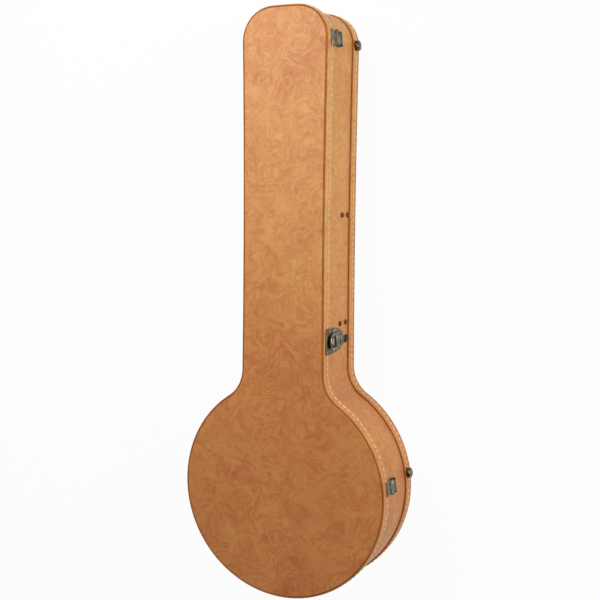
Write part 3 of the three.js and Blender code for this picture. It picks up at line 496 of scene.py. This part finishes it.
def repeat_tree(name, sizes, along):
    """Sets one rounded grain on each point, turned along the line where there is one."""
    tree = bpy.data.node_groups.new(name, "GeometryNodeTree")
    face = tree.interface
    face.new_socket("Geometry", in_out="INPUT", socket_type="NodeSocketGeometry")
    for label, value in sizes:
        socket = face.new_socket(label, in_out="INPUT", socket_type="NodeSocketFloat")
        socket.default_value = value
    face.new_socket("Count", in_out="INPUT", socket_type="NodeSocketInt")
    face.new_socket("Finish", in_out="INPUT", socket_type="NodeSocketMaterial")
    face.new_socket("Geometry", in_out="OUTPUT", socket_type="NodeSocketGeometry")
    node, link = tree.nodes.new, tree.links.new
    given, result = node("NodeGroupInput"), node("NodeGroupOutput")
    shape = node("GeometryNodeMeshUVSphere")
    shape.inputs["Segments"].default_value = 10
    shape.inputs["Rings"].default_value = 7
    shape.inputs["Radius"].default_value = 0.5
    size = node("ShaderNodeCombineXYZ")
    spread = node("GeometryNodeInstanceOnPoints")
    real = node("GeometryNodeRealizeInstances")
    smooth = node("GeometryNodeSetShadeSmooth")
    coat = node("GeometryNodeSetMaterial")
    if along:
        curve = node("GeometryNodeMeshToCurve")
        steps = node("GeometryNodeResampleCurve")
        steps.mode = "COUNT"
        tangent = node("GeometryNodeInputTangent")
        turn = node("FunctionNodeAlignEulerToVector")
        turn.axis = "X"
        link(given.outputs["Geometry"], curve.inputs[0])
        link(curve.outputs[0], steps.inputs["Curve"])
        link(given.outputs["Count"], steps.inputs["Count"])
        link(tangent.outputs[0], turn.inputs["Vector"])
        link(steps.outputs[0], spread.inputs["Points"])
        link(turn.outputs[0], spread.inputs["Rotation"])
    else:
        link(given.outputs["Geometry"], spread.inputs["Points"])
    link(given.outputs["Length"], size.inputs["X"])
    link(given.outputs["Thickness"], size.inputs["Y"])
    link(given.outputs["Thickness"], size.inputs["Z"])
    link(shape.outputs["Mesh"], spread.inputs["Instance"])
    link(size.outputs[0], spread.inputs["Scale"])
    link(spread.outputs[0], real.inputs[0])
    link(real.outputs[0], smooth.inputs[0])
    link(smooth.outputs[0], coat.inputs["Geometry"])
    link(given.outputs["Finish"], coat.inputs["Material"])
    link(coat.outputs[0], result.inputs[0])
    return tree


STITCH_ROW = repeat_tree(
    "stitch_row", [("Length", STITCH_LENGTH), ("Thickness", STITCH_THICKNESS)], True)


def grown(name, points, edges, tree, values):
    """Runs a Geometry Nodes tree on a line or cloud of points and keeps the plain mesh."""
    mesh = bpy.data.meshes.new(name)
    mesh.from_pydata([tuple(p) for p in points], edges, [])
    seed = shown(name + "_line", mesh)
    modifier = seed.modifiers.new("grow", "NODES")
    modifier.node_group = tree
    for item in tree.interface.items_tree:
        if item.in_out == "INPUT" and item.name in values:
            modifier[item.identifier] = values[item.name]
    bpy.context.view_layer.update()
    kept = settled(seed)
    bpy.data.objects.remove(seed)
    return shown(name, kept)


def stitches(name, z, body):
    line = ring(BAND_PROUD - STITCH_SUNK, z)
    edges = [(i, (i + 1) % len(line)) for i in range(len(line))]
    made = grown(name, line, edges, STITCH_ROW,
                 {"Finish": STITCH_THREAD, "Count": STITCH_COUNT})
    covered(made, None, body, "stitched_band")


stitches("lid_stitching", LID_STITCH_Z, "lid")
stitches("back_stitching", BACK_STITCH_Z, "case_body")

# Plush linings: short-pile velour in a deep wine red over card and a thin foam, on the base,
# the inside of the walls, the lip that the lid closes over, and the lid, whose pad is crowned.
# The inside isn't in the photograph, so all of it is a guess.
PAD_GAP = 0.5 * MM
LINING = 3 * MM
INNER_FACE = -WALL - SEAM
LINING_FACE = INNER_FACE - LINING
FLOOR = BOARD + SEAM + 5 * MM
LIP_FOOT = 62.3 * MM
LIP_RISE = 12 * MM
LIP_TOP = PARTING - PARTING_GAP + LIP_RISE
LIP_OUTER = -WALL - 1.3 * MM
LIP_FACE = LIP_OUTER - 2.5 * MM


def plush(name, deep, bright):
    made = Finish(name, roughness=0.92)
    brushed = made.noise(24.0, 3.0, 0.6, 0.9).between(0.34, 0.68)
    pile = made.noise(1300.0, 2.0, 0.7)
    tufts = made.noise(380.0, 3.0, 0.65)
    rubbed = made.noise(60.0, 4.0, 0.6, 0.6).between(0.5, 0.75)
    colour = made.blend(brushed * 0.5 + pile * 0.3 + rubbed * 0.2, linear(*deep), linear(*bright))
    made.set("Base Color", colour)
    made.set("Sheen Weight", 0.5)
    made.set("Sheen Roughness", 0.4)
    made.set("Sheen Tint", linear(222, 130, 112))
    made.bump(pile * 0.4 + tufts * 0.6, 0.7, 0.0008)
    return made.material


PLUSH = plush("wine_plush", (92, 22, 24), (140, 46, 42))
PLUSH_BOARD = plush("wine_plush_on_board", (84, 20, 21), (128, 42, 37))


def padded(piece, body, fill, *nodes):
    """A finished soft piece in plush, standing for its foam solids."""
    covered(piece, PLUSH, body, "plush_pad", *nodes)
    return piece


base_round = 1.8 * MM
base_edge = INNER_FACE - 0.2 * MM
base_levels = [(base_edge, BOARD + SEAM)]
base_levels += rounded((base_edge - base_round, FLOOR - base_round), base_round, 0, 90)
padded(slab("base_lining_plush", base_levels), "case_body", 0.8, "body_base_lining")

lining_round = 1.3 * MM
lining_edge = INNER_FACE - 0.1 * MM
padded(hoop("wall_lining_plush",
            [(lining_edge, FLOOR + SEAM), (lining_edge, LIP_FOOT - SEAM - lining_round)]
            + rounded((lining_edge - lining_round, LIP_FOOT - SEAM - lining_round),
                      lining_round, 0, 90)
            + rounded((LINING_FACE + lining_round, LIP_FOOT - SEAM - lining_round),
                      lining_round, 90, 180)
            + [(LINING_FACE, (FLOOR + LIP_FOOT) / 2), (LINING_FACE, FLOOR + SEAM)], 60),
       "case_body", 0.8, "body_side_lining")

lip_round = 1.1 * MM
covered(hoop("inner_lip_plush",
             [(INNER_FACE, LIP_FOOT), (INNER_FACE, PARTING - 1.2 * MM),
              (LIP_OUTER, PARTING - PARTING_GAP)]
             + rounded((LIP_OUTER - lip_round, LIP_TOP - lip_round), lip_round, 0, 90)
             + rounded((LIP_FACE + lip_round, LIP_TOP - lip_round), lip_round, 90, 180)
             + [(LIP_FACE, LIP_FOOT)], 50),
        PLUSH_BOARD, "case_body", "plush_board", "body_inner_lip")

lid_pad_top = CASE_DEPTH - BOARD - SEAM
lid_pad_face = lid_pad_top - 5 * MM
skirt_foot = LIP_TOP + 1.3 * MM
skirt_half = LINING / 2 - 0.1 * MM
crown_reach = CORNER_RADIUS - WALL - LINING
lid_pad_edge = LINING_FACE + 0.2 * MM
lid_pad_crown = 2 * MM
lid_levels = [(lining_edge, lid_pad_top)]
lid_levels += rounded((lining_edge - skirt_half, skirt_foot + skirt_half),
                      skirt_half, 0, -180, 8)
lid_levels += [(lid_pad_edge, lid_pad_face - 3 * MM)]
lid_levels += [(lid_pad_edge - crown_reach * reach, lid_pad_face - lid_pad_crown * crown)
               for reach, crown in ((0.012, -0.3), (0.05, 0.12), (0.12, 0.36), (0.25, 0.62),
                                    (0.42, 0.83), (0.58, 0.95), (0.7, 1.0))]
padded(slab("lid_lining_plush", lid_levels, 60), "lid", 0.8, "lid_lining")

# Pot bolster: a foam roll bent round the pot under the same plush, sewn down in upright
# channels and left open toward the neck, so that the drum's rim sits against it.
BOLSTER_OUTER = POT_RADIUS + LINING_FACE - PAD_GAP
BOLSTER_THICKNESS = 10.8 * MM
BOLSTER_INNER = BOLSTER_OUTER - BOLSTER_THICKNESS
BOLSTER_TOP = LIP_FOOT - SEAM - 3.2 * MM
BOLSTER_ROUND = 3.2 * MM
CHANNEL_COUNT = 26
CHANNEL_STEPS = 14
CHANNEL_DEPTH = 2.2
CHANNEL_SHARPNESS = 2.2
NECK_GAP = 33.4
PAD_FOOT = FLOOR + SEAM


def pot_bolster():
    """The roll's section swept round the pot, drawn in at each channel and closed at its ends."""
    neck_gap = math.radians(NECK_GAP)
    angles = np.linspace(math.pi / 2 + neck_gap, math.pi * 5 / 2 - neck_gap,
                         CHANNEL_COUNT * CHANNEL_STEPS + 1)
    r = BOLSTER_ROUND
    outer, inner = BOLSTER_OUTER - 0.2 * MM, BOLSTER_INNER
    section = [(outer, PAD_FOOT, 0)]
    section += [(x, z, 0.5) for x, z in rounded((outer - r, BOLSTER_TOP - r), r, 0, 90, 4)]
    section += [(x, z, 1) for x, z in rounded((inner + r, BOLSTER_TOP - r), r, 90, 180, 4)]
    middle = (BOLSTER_TOP + PAD_FOOT) / 2
    section += [(inner - 0.8 * MM, BOLSTER_TOP - 3 * r, 1), (inner - 1.5 * MM, middle, 1),
                (inner - 1.0 * MM, PAD_FOOT + 2 * r, 1)]
    section += [(x, z, 1) for x, z in
                rounded((inner + 0.6 * r, PAD_FOOT + 0.6 * r), 0.6 * r, 180, 270, 3)]
    points = []
    turns = np.linspace(0, CHANNEL_COUNT * math.pi, len(angles))
    ends = np.minimum(np.arange(len(angles)), np.arange(len(angles))[::-1])
    for angle, turn, end in zip(angles, turns, ends):
        channel = (1 - abs(math.sin(turn))) ** CHANNEL_SHARPNESS * CHANNEL_DEPTH * MM
        close = 1 - 0.16 * max(0, 1 - end / 4) ** 2
        for radius, z, free in section:
            middle_radius = (outer + inner) / 2
            x = middle_radius + (radius - middle_radius) * close + channel * free
            height = PAD_FOOT + (z - PAD_FOOT) * (1 - 0.04 * (1 - close) - 0.35 * channel * free)
            points.append((x * math.cos(angle), x * math.sin(angle), height))
    return piece_from("pot_bolster_roll", points, filled_row(len(section), len(angles)), 70)


padded(pot_bolster(), "case_body", 0.7, "pot_bolster")

# Pads: cut foam blocks in plush sleeves, glued to the base. The round one carries the drum,
# the notched one the neck, and the one at the far end the headstock.
PAD_ROOM = 1.6 * MM
PAD_PRESSURE = 4
PAD_FRAMES = 20


def stuffed(name, node, body, fill, voxel):
    """The foam block drawn in a little, its cover then swollen against it by cloth pressure."""
    scene = bpy.context.scene
    shape = bmesh.new()
    shape.from_mesh(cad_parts[node].data)
    bmesh.ops.remove_doubles(shape, verts=shape.verts, dist=CAD_WELD)
    mesh = bpy.data.meshes.new(name)
    shape.to_mesh(mesh)
    shape.free()
    sleeve = shown(name, mesh)
    remesh = sleeve.modifiers.new("even_mesh", "REMESH")
    remesh.mode = "VOXEL"
    remesh.voxel_size = voxel
    ease = sleeve.modifiers.new("eased_edges", "SMOOTH")
    ease.factor = 0.5
    ease.iterations = 6
    even = settled(sleeve)
    sleeve.modifiers.clear()
    sleeve.data = even
    start = np.array([v.co + v.normal * -PAD_ROOM for v in even.vertices])
    even.vertices.foreach_set("co", start.ravel())
    even.update()
    swell = sleeve.modifiers.new("swell", "CLOTH")
    swell.settings.use_pressure = True
    swell.settings.uniform_pressure_force = PAD_PRESSURE
    swell.settings.effector_weights.gravity = 0
    swell.settings.quality = 4
    swell.point_cache.frame_start = 1
    swell.point_cache.frame_end = PAD_FRAMES
    for step in range(1, PAD_FRAMES + 1):
        scene.frame_set(step)
    swollen = sleeve.evaluated_get(bpy.context.evaluated_depsgraph_get()).data
    end = np.empty(len(swollen.vertices) * 3)
    swollen.vertices.foreach_get("co", end)
    moved = end.reshape(-1, 3) - start
    far = np.linalg.norm(moved, axis=1, keepdims=True)
    moved *= np.minimum(1, PAD_ROOM / np.maximum(far, 1e-9))
    sleeve.modifiers.clear()
    even.vertices.foreach_set("co", (start + moved).ravel())
    even.update()
    scene.frame_set(1)
    finer = sleeve.modifiers.new("soft_cover", "SUBSURF")
    finer.levels = finer.render_levels = 1
    even.shade_smooth()
    return padded(sleeve, body, fill, node)


stuffed("drum_pad", "pot_cushion", "case_body", 0.6, 5 * MM)
stuffed("neck_pad", "neck_cradle", "case_body", 0.7, 4 * MM)
stuffed("headstock_block", "headstock_pad", "case_body", 0.7, 4 * MM)

# Compartment: thin boards in the same plush between the pot and the neck pad. The flap lies
# on the partition and on a cleat along the wall.
BEVELLED_FROM = 28
SHARP_FROM = 32


def softened(node, material, body, slot, width=0.25 * MM, worn=None, dark=None, shaded_where=None):
    """A copy of a fitting's solid with its edges broken; edges may be worn, and chosen faces may
    take a painted shade.
    """
    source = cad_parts[node]
    shape = bmesh.new()
    shape.from_mesh(source.data)
    bmesh.ops.remove_doubles(shape, verts=shape.verts, dist=CAD_WELD)
    bmesh.ops.dissolve_limit(shape, angle_limit=math.radians(1), verts=shape.verts,
                             edges=shape.edges)
    mesh = bpy.data.meshes.new(node + "_softened")
    shape.to_mesh(mesh)
    shape.free()
    made = shown(node + "_softened", mesh)
    for finish in (material, worn or material, dark or material):
        mesh.materials.append(finish)
    bevel = made.modifiers.new("broken_edges", "BEVEL")
    bevel.width = width
    bevel.segments = 2
    bevel.limit_method = "ANGLE"
    bevel.angle_limit = math.radians(BEVELLED_FROM)
    bevel.use_clamp_overlap = True
    bevel.material = 1 if worn else -1
    kept = settled(made)
    made.modifiers.clear()
    made.data = kept
    if dark:
        for face in kept.polygons:
            if shaded_where(face):
                face.material_index = 2
    kept.shade_smooth()
    kept.set_sharp_from_angle(angle=math.radians(SHARP_FROM))
    return covered(made, None, body, slot, node)


softened("compartment_partition", PLUSH_BOARD, "case_body", "plush_board", 1.2 * MM)
softened("flap_cleat", PLUSH_BOARD, "case_body", "plush_board", 0.8 * MM)
softened("compartment_flap", PLUSH_BOARD, "compartment_flap", "plush_board", 0.9 * MM)

# Metal fittings: pressed steel plated in a bronze tone, gone dark and dull with handling and
# rubbed bright along its edges. Three hinges with rolled knuckles sit on the far side, which
# the photograph doesn't show.
LOCK_Y = 0.266
# Ovals of the painted shadow round the lock's keeper: the outer edge of the dark ring, and the
# clear oval inside it.
KEEPER_SHADOW_OVAL = (0.1107, 66.0, 70.0)
KEEPER_OVAL = (0.0952, 108.0, 68.0)
RIB_RATE = 2850.0
HINGES = ("low_hinge", "pot_hinge", "headstock_hinge")


def aged_metal(name, dark, light, rough, keeper_shadowed=False, ribbed=False):
    """Plated steel, stained and brushed; it may carry a painted shadow round the keeper, or fine
    ribs with painted shade along them.
    """
    made = Finish(name, metallic=1.0)
    stain = made.noise(90.0, 4.0, 0.65, 0.5).between(0.35, 0.68)
    fine = made.noise(1400.0, 2.0, 0.6)
    scratch = made.node("ShaderNodeMapping", {}, {0: made.place, "Scale": (60.0, 900.0, 900.0)})
    brushed = made.noise(3.0, 3.0, 0.6, place=scratch)
    colour = made.blend(stain * 0.7 + fine * 0.15 + brushed * 0.15, linear(*dark), linear(*light))
    relief = fine * 0.6 + brushed * 0.4
    if keeper_shadowed or ribbed:
        across = made.along("Y") - LOCK_Y
        height = made.along("Z")

    def oval(middle, wide, tall):
        """Grows from 0 at the oval's middle, and is 1 on its line."""
        reach = across * wide
        rise = (height - middle) * tall
        return reach * reach + rise * rise

    # A painted shadow: the plate is blackened in a ring round the keeper.
    if keeper_shadowed:
        keeper_shadow = 1 - oval(*KEEPER_SHADOW_OVAL).between(0.8, 1.2)
        keeper_shadow = keeper_shadow * oval(*KEEPER_OVAL).between(0.8, 1.1)
        colour = made.blend(keeper_shadow * 0.92, colour, linear(14, 11, 7))
    if ribbed:
        # The dark lines drawn at the ribs are painted shade; the bump gives their relief.
        ribs = (height * RIB_RATE).sine() * 0.5 + 0.5
        room = 1 - across.size().between(0.0062, 0.0068)
        colour = made.blend(ribs * room * 0.45, colour, linear(30, 27, 20))
        relief = relief * 0.3 + ribs * room
    made.set("Base Color", colour)
    made.set("Roughness", stain * -0.12 + fine * 0.12 + brushed * 0.06 + rough)
    made.bump(relief, 0.5 if ribbed else 0.2, 0.0003 if ribbed else 0.0002)
    return made.material


BRONZE = aged_metal("aged_bronze_plate", (82, 69, 50), (142, 125, 96), 0.42)
STEEL = aged_metal("aged_steel_plate", (92, 84, 68), (152, 142, 120), 0.36)
# Painted shade, put on the raised upward faces of the lock's keeper.
KEEPER_SHADE = aged_metal("painted_shade_plate", (16, 13, 9), (34, 29, 22), 0.5)
DARK_WIRE = aged_metal("dark_wire", (44, 38, 28), (92, 82, 64), 0.4)
RUBBED = aged_metal("rubbed_edge", (134, 124, 102), (194, 184, 158), 0.3)
# The lock's plate carries the painted shadow round its keeper.
LOCK_PLATE = aged_metal("lock_plate", (78, 65, 47), (138, 121, 93), 0.42, keeper_shadowed=True)
# The lock's lever has fine ribs with painted shade along them.
RIBBED = aged_metal("ribbed_lever", (92, 84, 68), (150, 140, 120), 0.36, ribbed=True)

for hinge in HINGES:
    softened(hinge + "_lid_leaf", BRONZE, "lid", "aged_bronze", worn=RUBBED)
    softened(hinge + "_body_leaf", BRONZE, "case_body", "aged_bronze", worn=RUBBED)
    softened(hinge + "_pin", BRONZE, "case_body", "aged_bronze", 0.15 * MM)

# Latches: a pressed plate with a raised keeper on the lid, a plate with two ears on the body,
# and a sprung lever that draws a wire bail. The wide one in the middle also has a key lock.
lock_turn = math.radians(0.4261)
lock_out = Vector((math.cos(lock_turn), math.sin(lock_turn), 0))
lock_along = Vector((-math.sin(lock_turn), math.cos(lock_turn), 0))
lock_seat = Vector((75.859, 266.045, 99.2)) * MM
KEEPER_OUT = 5.4 * MM
KEEPER_UP = 0.2


def on_lock_keeper(face):
    """Faces of the lock's keeper that stand out from the plate and look up; they take a painted
    shade.
    """
    raised = (face.center - lock_seat) @ lock_out > KEEPER_OUT
    return raised and face.normal.z > KEEPER_UP


for latch in ("top_latch", "low_latch"):
    softened(latch + "_catch", STEEL, "lid", "aged_bronze", 0.4 * MM, RUBBED)
    softened(latch + "_base", BRONZE, "case_body", "aged_bronze", 0.3 * MM, RUBBED)
# The keeper's raised upward faces take a painted shade.
softened("lock_catch", LOCK_PLATE, "lid", "aged_bronze", 0.4 * MM, RUBBED, KEEPER_SHADE,
         on_lock_keeper)
softened("lock_base", BRONZE, "case_body", "aged_bronze", 0.3 * MM, RUBBED)
for latch in ("top_latch", "low_latch", "lock"):
    softened(latch + "_lever", RIBBED if latch == "lock" else STEEL, latch + "_lever",
             "aged_steel", 0.35 * MM, RUBBED)
    if latch != "lock":
        softened(latch + "_bail", DARK_WIRE, latch + "_bail", "aged_steel", 0.1 * MM)
    softened(latch + "_pin", BRONZE, "case_body", "aged_bronze", 0.1 * MM)
softened("lock_key_plug", RUBBED, "key_plug", "aged_steel", 0.4 * MM)

grip = Finish("grip_black")
grip_fine = grip.noise(900.0, 3.0, 0.6)
grip.set("Base Color", grip.blend(grip_fine, linear(14, 10, 5), linear(36, 28, 16)))
grip.set("Roughness", grip_fine * 0.2 + 0.42)
grip.set("Specular IOR Level", 0.2)
grip.bump(grip_fine, 0.2, 0.0003)
softened("lock_finger_grip", grip.material, "lock_lever", "black_grip", 2.2 * MM)

# Plate rivets: small domed heads on the lock's two plates and on the hinge leaves. None of
# them can be made out in the photograph.
RIVET_SIZE = 3.2 * MM
RIVET_SUNK = 0.9
LOOK_FROM = 0.1
LID_LEAF_DROP = 5.5 * MM
BODY_LEAF_RISE = 6 * MM
LEAF_SPREAD = 0.3
RIVET_SET = repeat_tree("rivet_set", [("Length", RIVET_SIZE), ("Thickness", RIVET_SIZE)], False)


def plate_rivets(name, node, body, places, outward):
    """Heads on a plate's face, each found by looking in from outside at one of the places."""
    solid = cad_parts[node].data
    tree = BVHTree.FromPolygons([v.co for v in solid.vertices],
                                [tuple(f.vertices) for f in solid.polygons])
    heads = []
    for place in places:
        hit = tree.ray_cast(Vector(place) + outward * LOOK_FROM, -outward)[0]
        if hit:
            heads.append(hit - outward * RIVET_SUNK * MM)
    made = grown(name, heads, [], RIVET_SET, {"Finish": RUBBED})
    covered(made, None, body, "aged_steel")


def lock_places(*pairs):
    """Places on the lock's plates, from pairs of millimetres along the case and up."""
    return [lock_seat + lock_along * y * MM + Vector((0, 0, z * MM)) for y, z in pairs]


plate_rivets("lock_catch_rivets", "lock_catch", "lid",
             lock_places((-17.6, 9), (17.6, 9), (-17, 25.5), (17, 25.5)), lock_out)
plate_rivets("lock_base_rivets", "lock_base", "case_body",
             lock_places((-17.2, -10.5), (17.2, -10.5)), lock_out)

# Lock bail: one round wire bent into a ring before the keeper, its two ends turned into the
# lever. Its path is in millimetres out from the wall, along the case and up.
lock_bail_path = [(5.0, 8.6, -26.5), (5.0, 10.0, -26.5), (5.2, 10.6, -25.6), (5.6, 10.7, -22),
                  (7.6, 11.0, -12), (9.6, 12.0, -3), (10.1, 12.6, 5), (10.1, 12.3, 12),
                  (10.1, 10.8, 17.2), (10.1, 7.6, 20.8), (10.1, 3.9, 22.4), (10.1, 0, 22.8)]
lock_bail_path += [(x, -y, z) for x, y, z in lock_bail_path[-2::-1]]
wire_curve = bpy.data.curves.new("lock_bail_wire", "CURVE")
wire_curve.dimensions = "3D"
wire_curve.bevel_depth = 0.95 * MM
wire_curve.bevel_resolution = 4
wire_curve.resolution_u = 5
wire_curve.use_fill_caps = True
wire_line = wire_curve.splines.new("NURBS")
wire_line.points.add(len(lock_bail_path) - 1)
wire_line.order_u = 3
wire_line.use_endpoint_u = True
for point, (x, y, z) in zip(wire_line.points, lock_bail_path):
    spot = lock_seat + lock_out * x * MM + lock_along * y * MM + Vector((0, 0, z * MM))
    point.co = (*spot, 1)
wire_object = shown("lock_bail_line", wire_curve)
bpy.context.view_layer.update()
wire_mesh = settled(wire_object)
bpy.data.objects.remove(wire_object)
wire_mesh.shade_smooth()
lock_bail = shown("lock_bail_wire", wire_mesh)
BRIGHT = aged_metal("rubbed_wire", (136, 126, 106), (204, 194, 170), 0.28)
covered(lock_bail, BRIGHT, "lock_bail", "aged_steel", "lock_bail")

for hinge in HINGES:
    for leaf, body in (("_lid_leaf", "lid"), ("_body_leaf", "case_body")):
        low, high = (Vector(corner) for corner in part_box(hinge + leaf))
        rise = high.z - LID_LEAF_DROP if body == "lid" else low.z + BODY_LEAF_RISE
        middle = (low + high) / 2
        reach = (high.y - low.y) * LEAF_SPREAD
        plate_rivets(hinge + leaf + "_rivets", hinge + leaf, body,
                     [(middle.x, middle.y - reach, rise), (middle.x, middle.y + reach, rise)],
                     Vector((-1, 0, 0)))

# Pull tab: a strip of brown leather, glued to the compartment's flap. Like the rest of the
# inside it is a guess.
tab = Finish("tab_leather", roughness=0.65)
tab_fine = tab.noise(600.0, 4.0, 0.6)
tab.set("Base Color", tab.blend(tab_fine, linear(70, 36, 20), linear(112, 64, 38)))
tab.bump(tab_fine, 0.5, 0.0004)
softened("flap_pull_tab", tab.material, "compartment_flap", "leather_tab", 0.3 * MM)

# Buttons and rivets: turned metal buttons behind the back band, and two pairs of rivet heads
# in the wall. The rivets are taken for a handle's, and there is no handle.
BUTTON = aged_metal("dark_button", (50, 42, 31), (130, 116, 92), 0.2)
RIVET = aged_metal("brown_rivet", (92, 58, 30), (140, 98, 58), 0.3)
for side in ("latch_side", "hinge_side"):
    for end in ("top", "low"):
        softened(f"{side}_{end}_button", BUTTON, "case_body", "aged_bronze", 0.2 * MM)
for pair in (1, 2):
    for place in (1, 2):
        softened(f"handle_rivet_{pair}_{place}", RIVET, "case_body", "aged_bronze", 0.2 * MM)

# Studio: a white floor that still takes the shadow, two soft lamps and the photograph's view.
# The camera sees a white backdrop, and a dimmer grey one lights the case.
FLOOR_WHITENESS = 0.95
WORLD_LIGHT = 0.24
floor_size = 8.0
floor_mesh = bpy.data.meshes.new("floor")
floor_mesh.from_pydata([(-floor_size, -floor_size, 0), (floor_size, -floor_size, 0),
                        (floor_size, floor_size, 0), (-floor_size, floor_size, 0)],
                       [], [(0, 1, 2, 3)])
floor = shown("floor", floor_mesh)
paper = bpy.data.materials.new("floor_paper")
paper.use_nodes = True
nodes, links = paper.node_tree.nodes, paper.node_tree.links
nodes.remove(nodes["Principled BSDF"])
matt = nodes.new("ShaderNodeBsdfDiffuse")
matt.inputs["Color"].default_value = (1, 1, 1, 1)
white = nodes.new("ShaderNodeEmission")
white.inputs["Strength"].default_value = 1.0
ray = nodes.new("ShaderNodeLightPath")
seen = nodes.new("ShaderNodeMath")
seen.operation = "ADD"
links.new(ray.outputs["Is Camera Ray"], seen.inputs[0])
links.new(ray.outputs["Is Glossy Ray"], seen.inputs[1])
glass = nodes.new("ShaderNodeMath")
glass.operation = "ADD"
links.new(seen.outputs[0], glass.inputs[0])
links.new(ray.outputs["Is Transmission Ray"], glass.inputs[1])
share = nodes.new("ShaderNodeMath")
share.operation = "MULTIPLY"
share.use_clamp = True
links.new(glass.outputs[0], share.inputs[0])
share.inputs[1].default_value = FLOOR_WHITENESS
mixed = nodes.new("ShaderNodeMixShader")
links.new(share.outputs[0], mixed.inputs[0])
links.new(matt.outputs[0], mixed.inputs[1])
links.new(white.outputs[0], mixed.inputs[2])
links.new(mixed.outputs[0], nodes["Material Output"].inputs["Surface"])
floor_mesh.materials.append(paper)

world = bpy.data.worlds.new("studio")
bpy.context.scene.world = world
world.use_nodes = True
nodes, links = world.node_tree.nodes, world.node_tree.links
sky = nodes["Background"]
sky.inputs["Color"].default_value = (1, 1, 1, 1)
sky.inputs["Strength"].default_value = WORLD_LIGHT
backdrop = nodes.new("ShaderNodeBackground")
backdrop.inputs["Color"].default_value = (1, 1, 1, 1)
backdrop.inputs["Strength"].default_value = 1.0
ray = nodes.new("ShaderNodeLightPath")
either = nodes.new("ShaderNodeMixShader")
links.new(ray.outputs["Is Camera Ray"], either.inputs[0])
links.new(sky.outputs[0], either.inputs[1])
links.new(backdrop.outputs[0], either.inputs[2])
links.new(either.outputs[0], nodes["World Output"].inputs["Surface"])


def lamp(name, place, target, size, power):
    data = bpy.data.lights.new(name, "AREA")
    data.shape = "DISK"
    data.size = size
    data.energy = power
    made = shown(name, data)
    made.location = place
    made.rotation_euler = (Vector(target) - Vector(place)).to_track_quat("-Z", "Y").to_euler()


lamp("key", (-0.45, 1.15, 1.15), (0, 0.45, 0.1), 0.9, 11)
lamp("fill", (1.9, 0.75, 0.8), (0, 0.3, 0.1), 1.2, 18.5)

PICTURE_PIXELS = 600
FOCAL_PIXELS = 1077
SENSOR = 36
CAMERA_DISTANCE = 1.929
YAW, PITCH, ROLL = math.radians(25.17), math.radians(5.63), -0.009
turn_y = Matrix(((math.cos(YAW), 0, -math.sin(YAW)), (0, 1, 0),
                 (math.sin(YAW), 0, math.cos(YAW))))
turn_x = Matrix(((1, 0, 0), (0, math.cos(PITCH), -math.sin(PITCH)),
                 (0, math.sin(PITCH), math.cos(PITCH))))
turn_z = Matrix(((math.cos(ROLL), -math.sin(ROLL), 0), (math.sin(ROLL), math.cos(ROLL), 0),
                 (0, 0, 1)))
view = turn_z @ turn_x @ turn_y
target = Vector((0, 0.3214, 0.0585))
camera_data = bpy.data.cameras.new("photo_view")
camera_data.sensor_width = SENSOR
camera_data.lens = SENSOR * FOCAL_PIXELS / PICTURE_PIXELS
camera_data.shift_x = -1.7 / PICTURE_PIXELS
camera_data.shift_y = 4.9 / PICTURE_PIXELS
camera = shown("photo_view", camera_data)
placed = view.transposed().to_4x4()
placed.translation = target + view[2] * CAMERA_DISTANCE
camera.matrix_world = placed
bpy.context.scene.camera = camera
bpy.context.scene.view_settings.view_transform = "Standard"
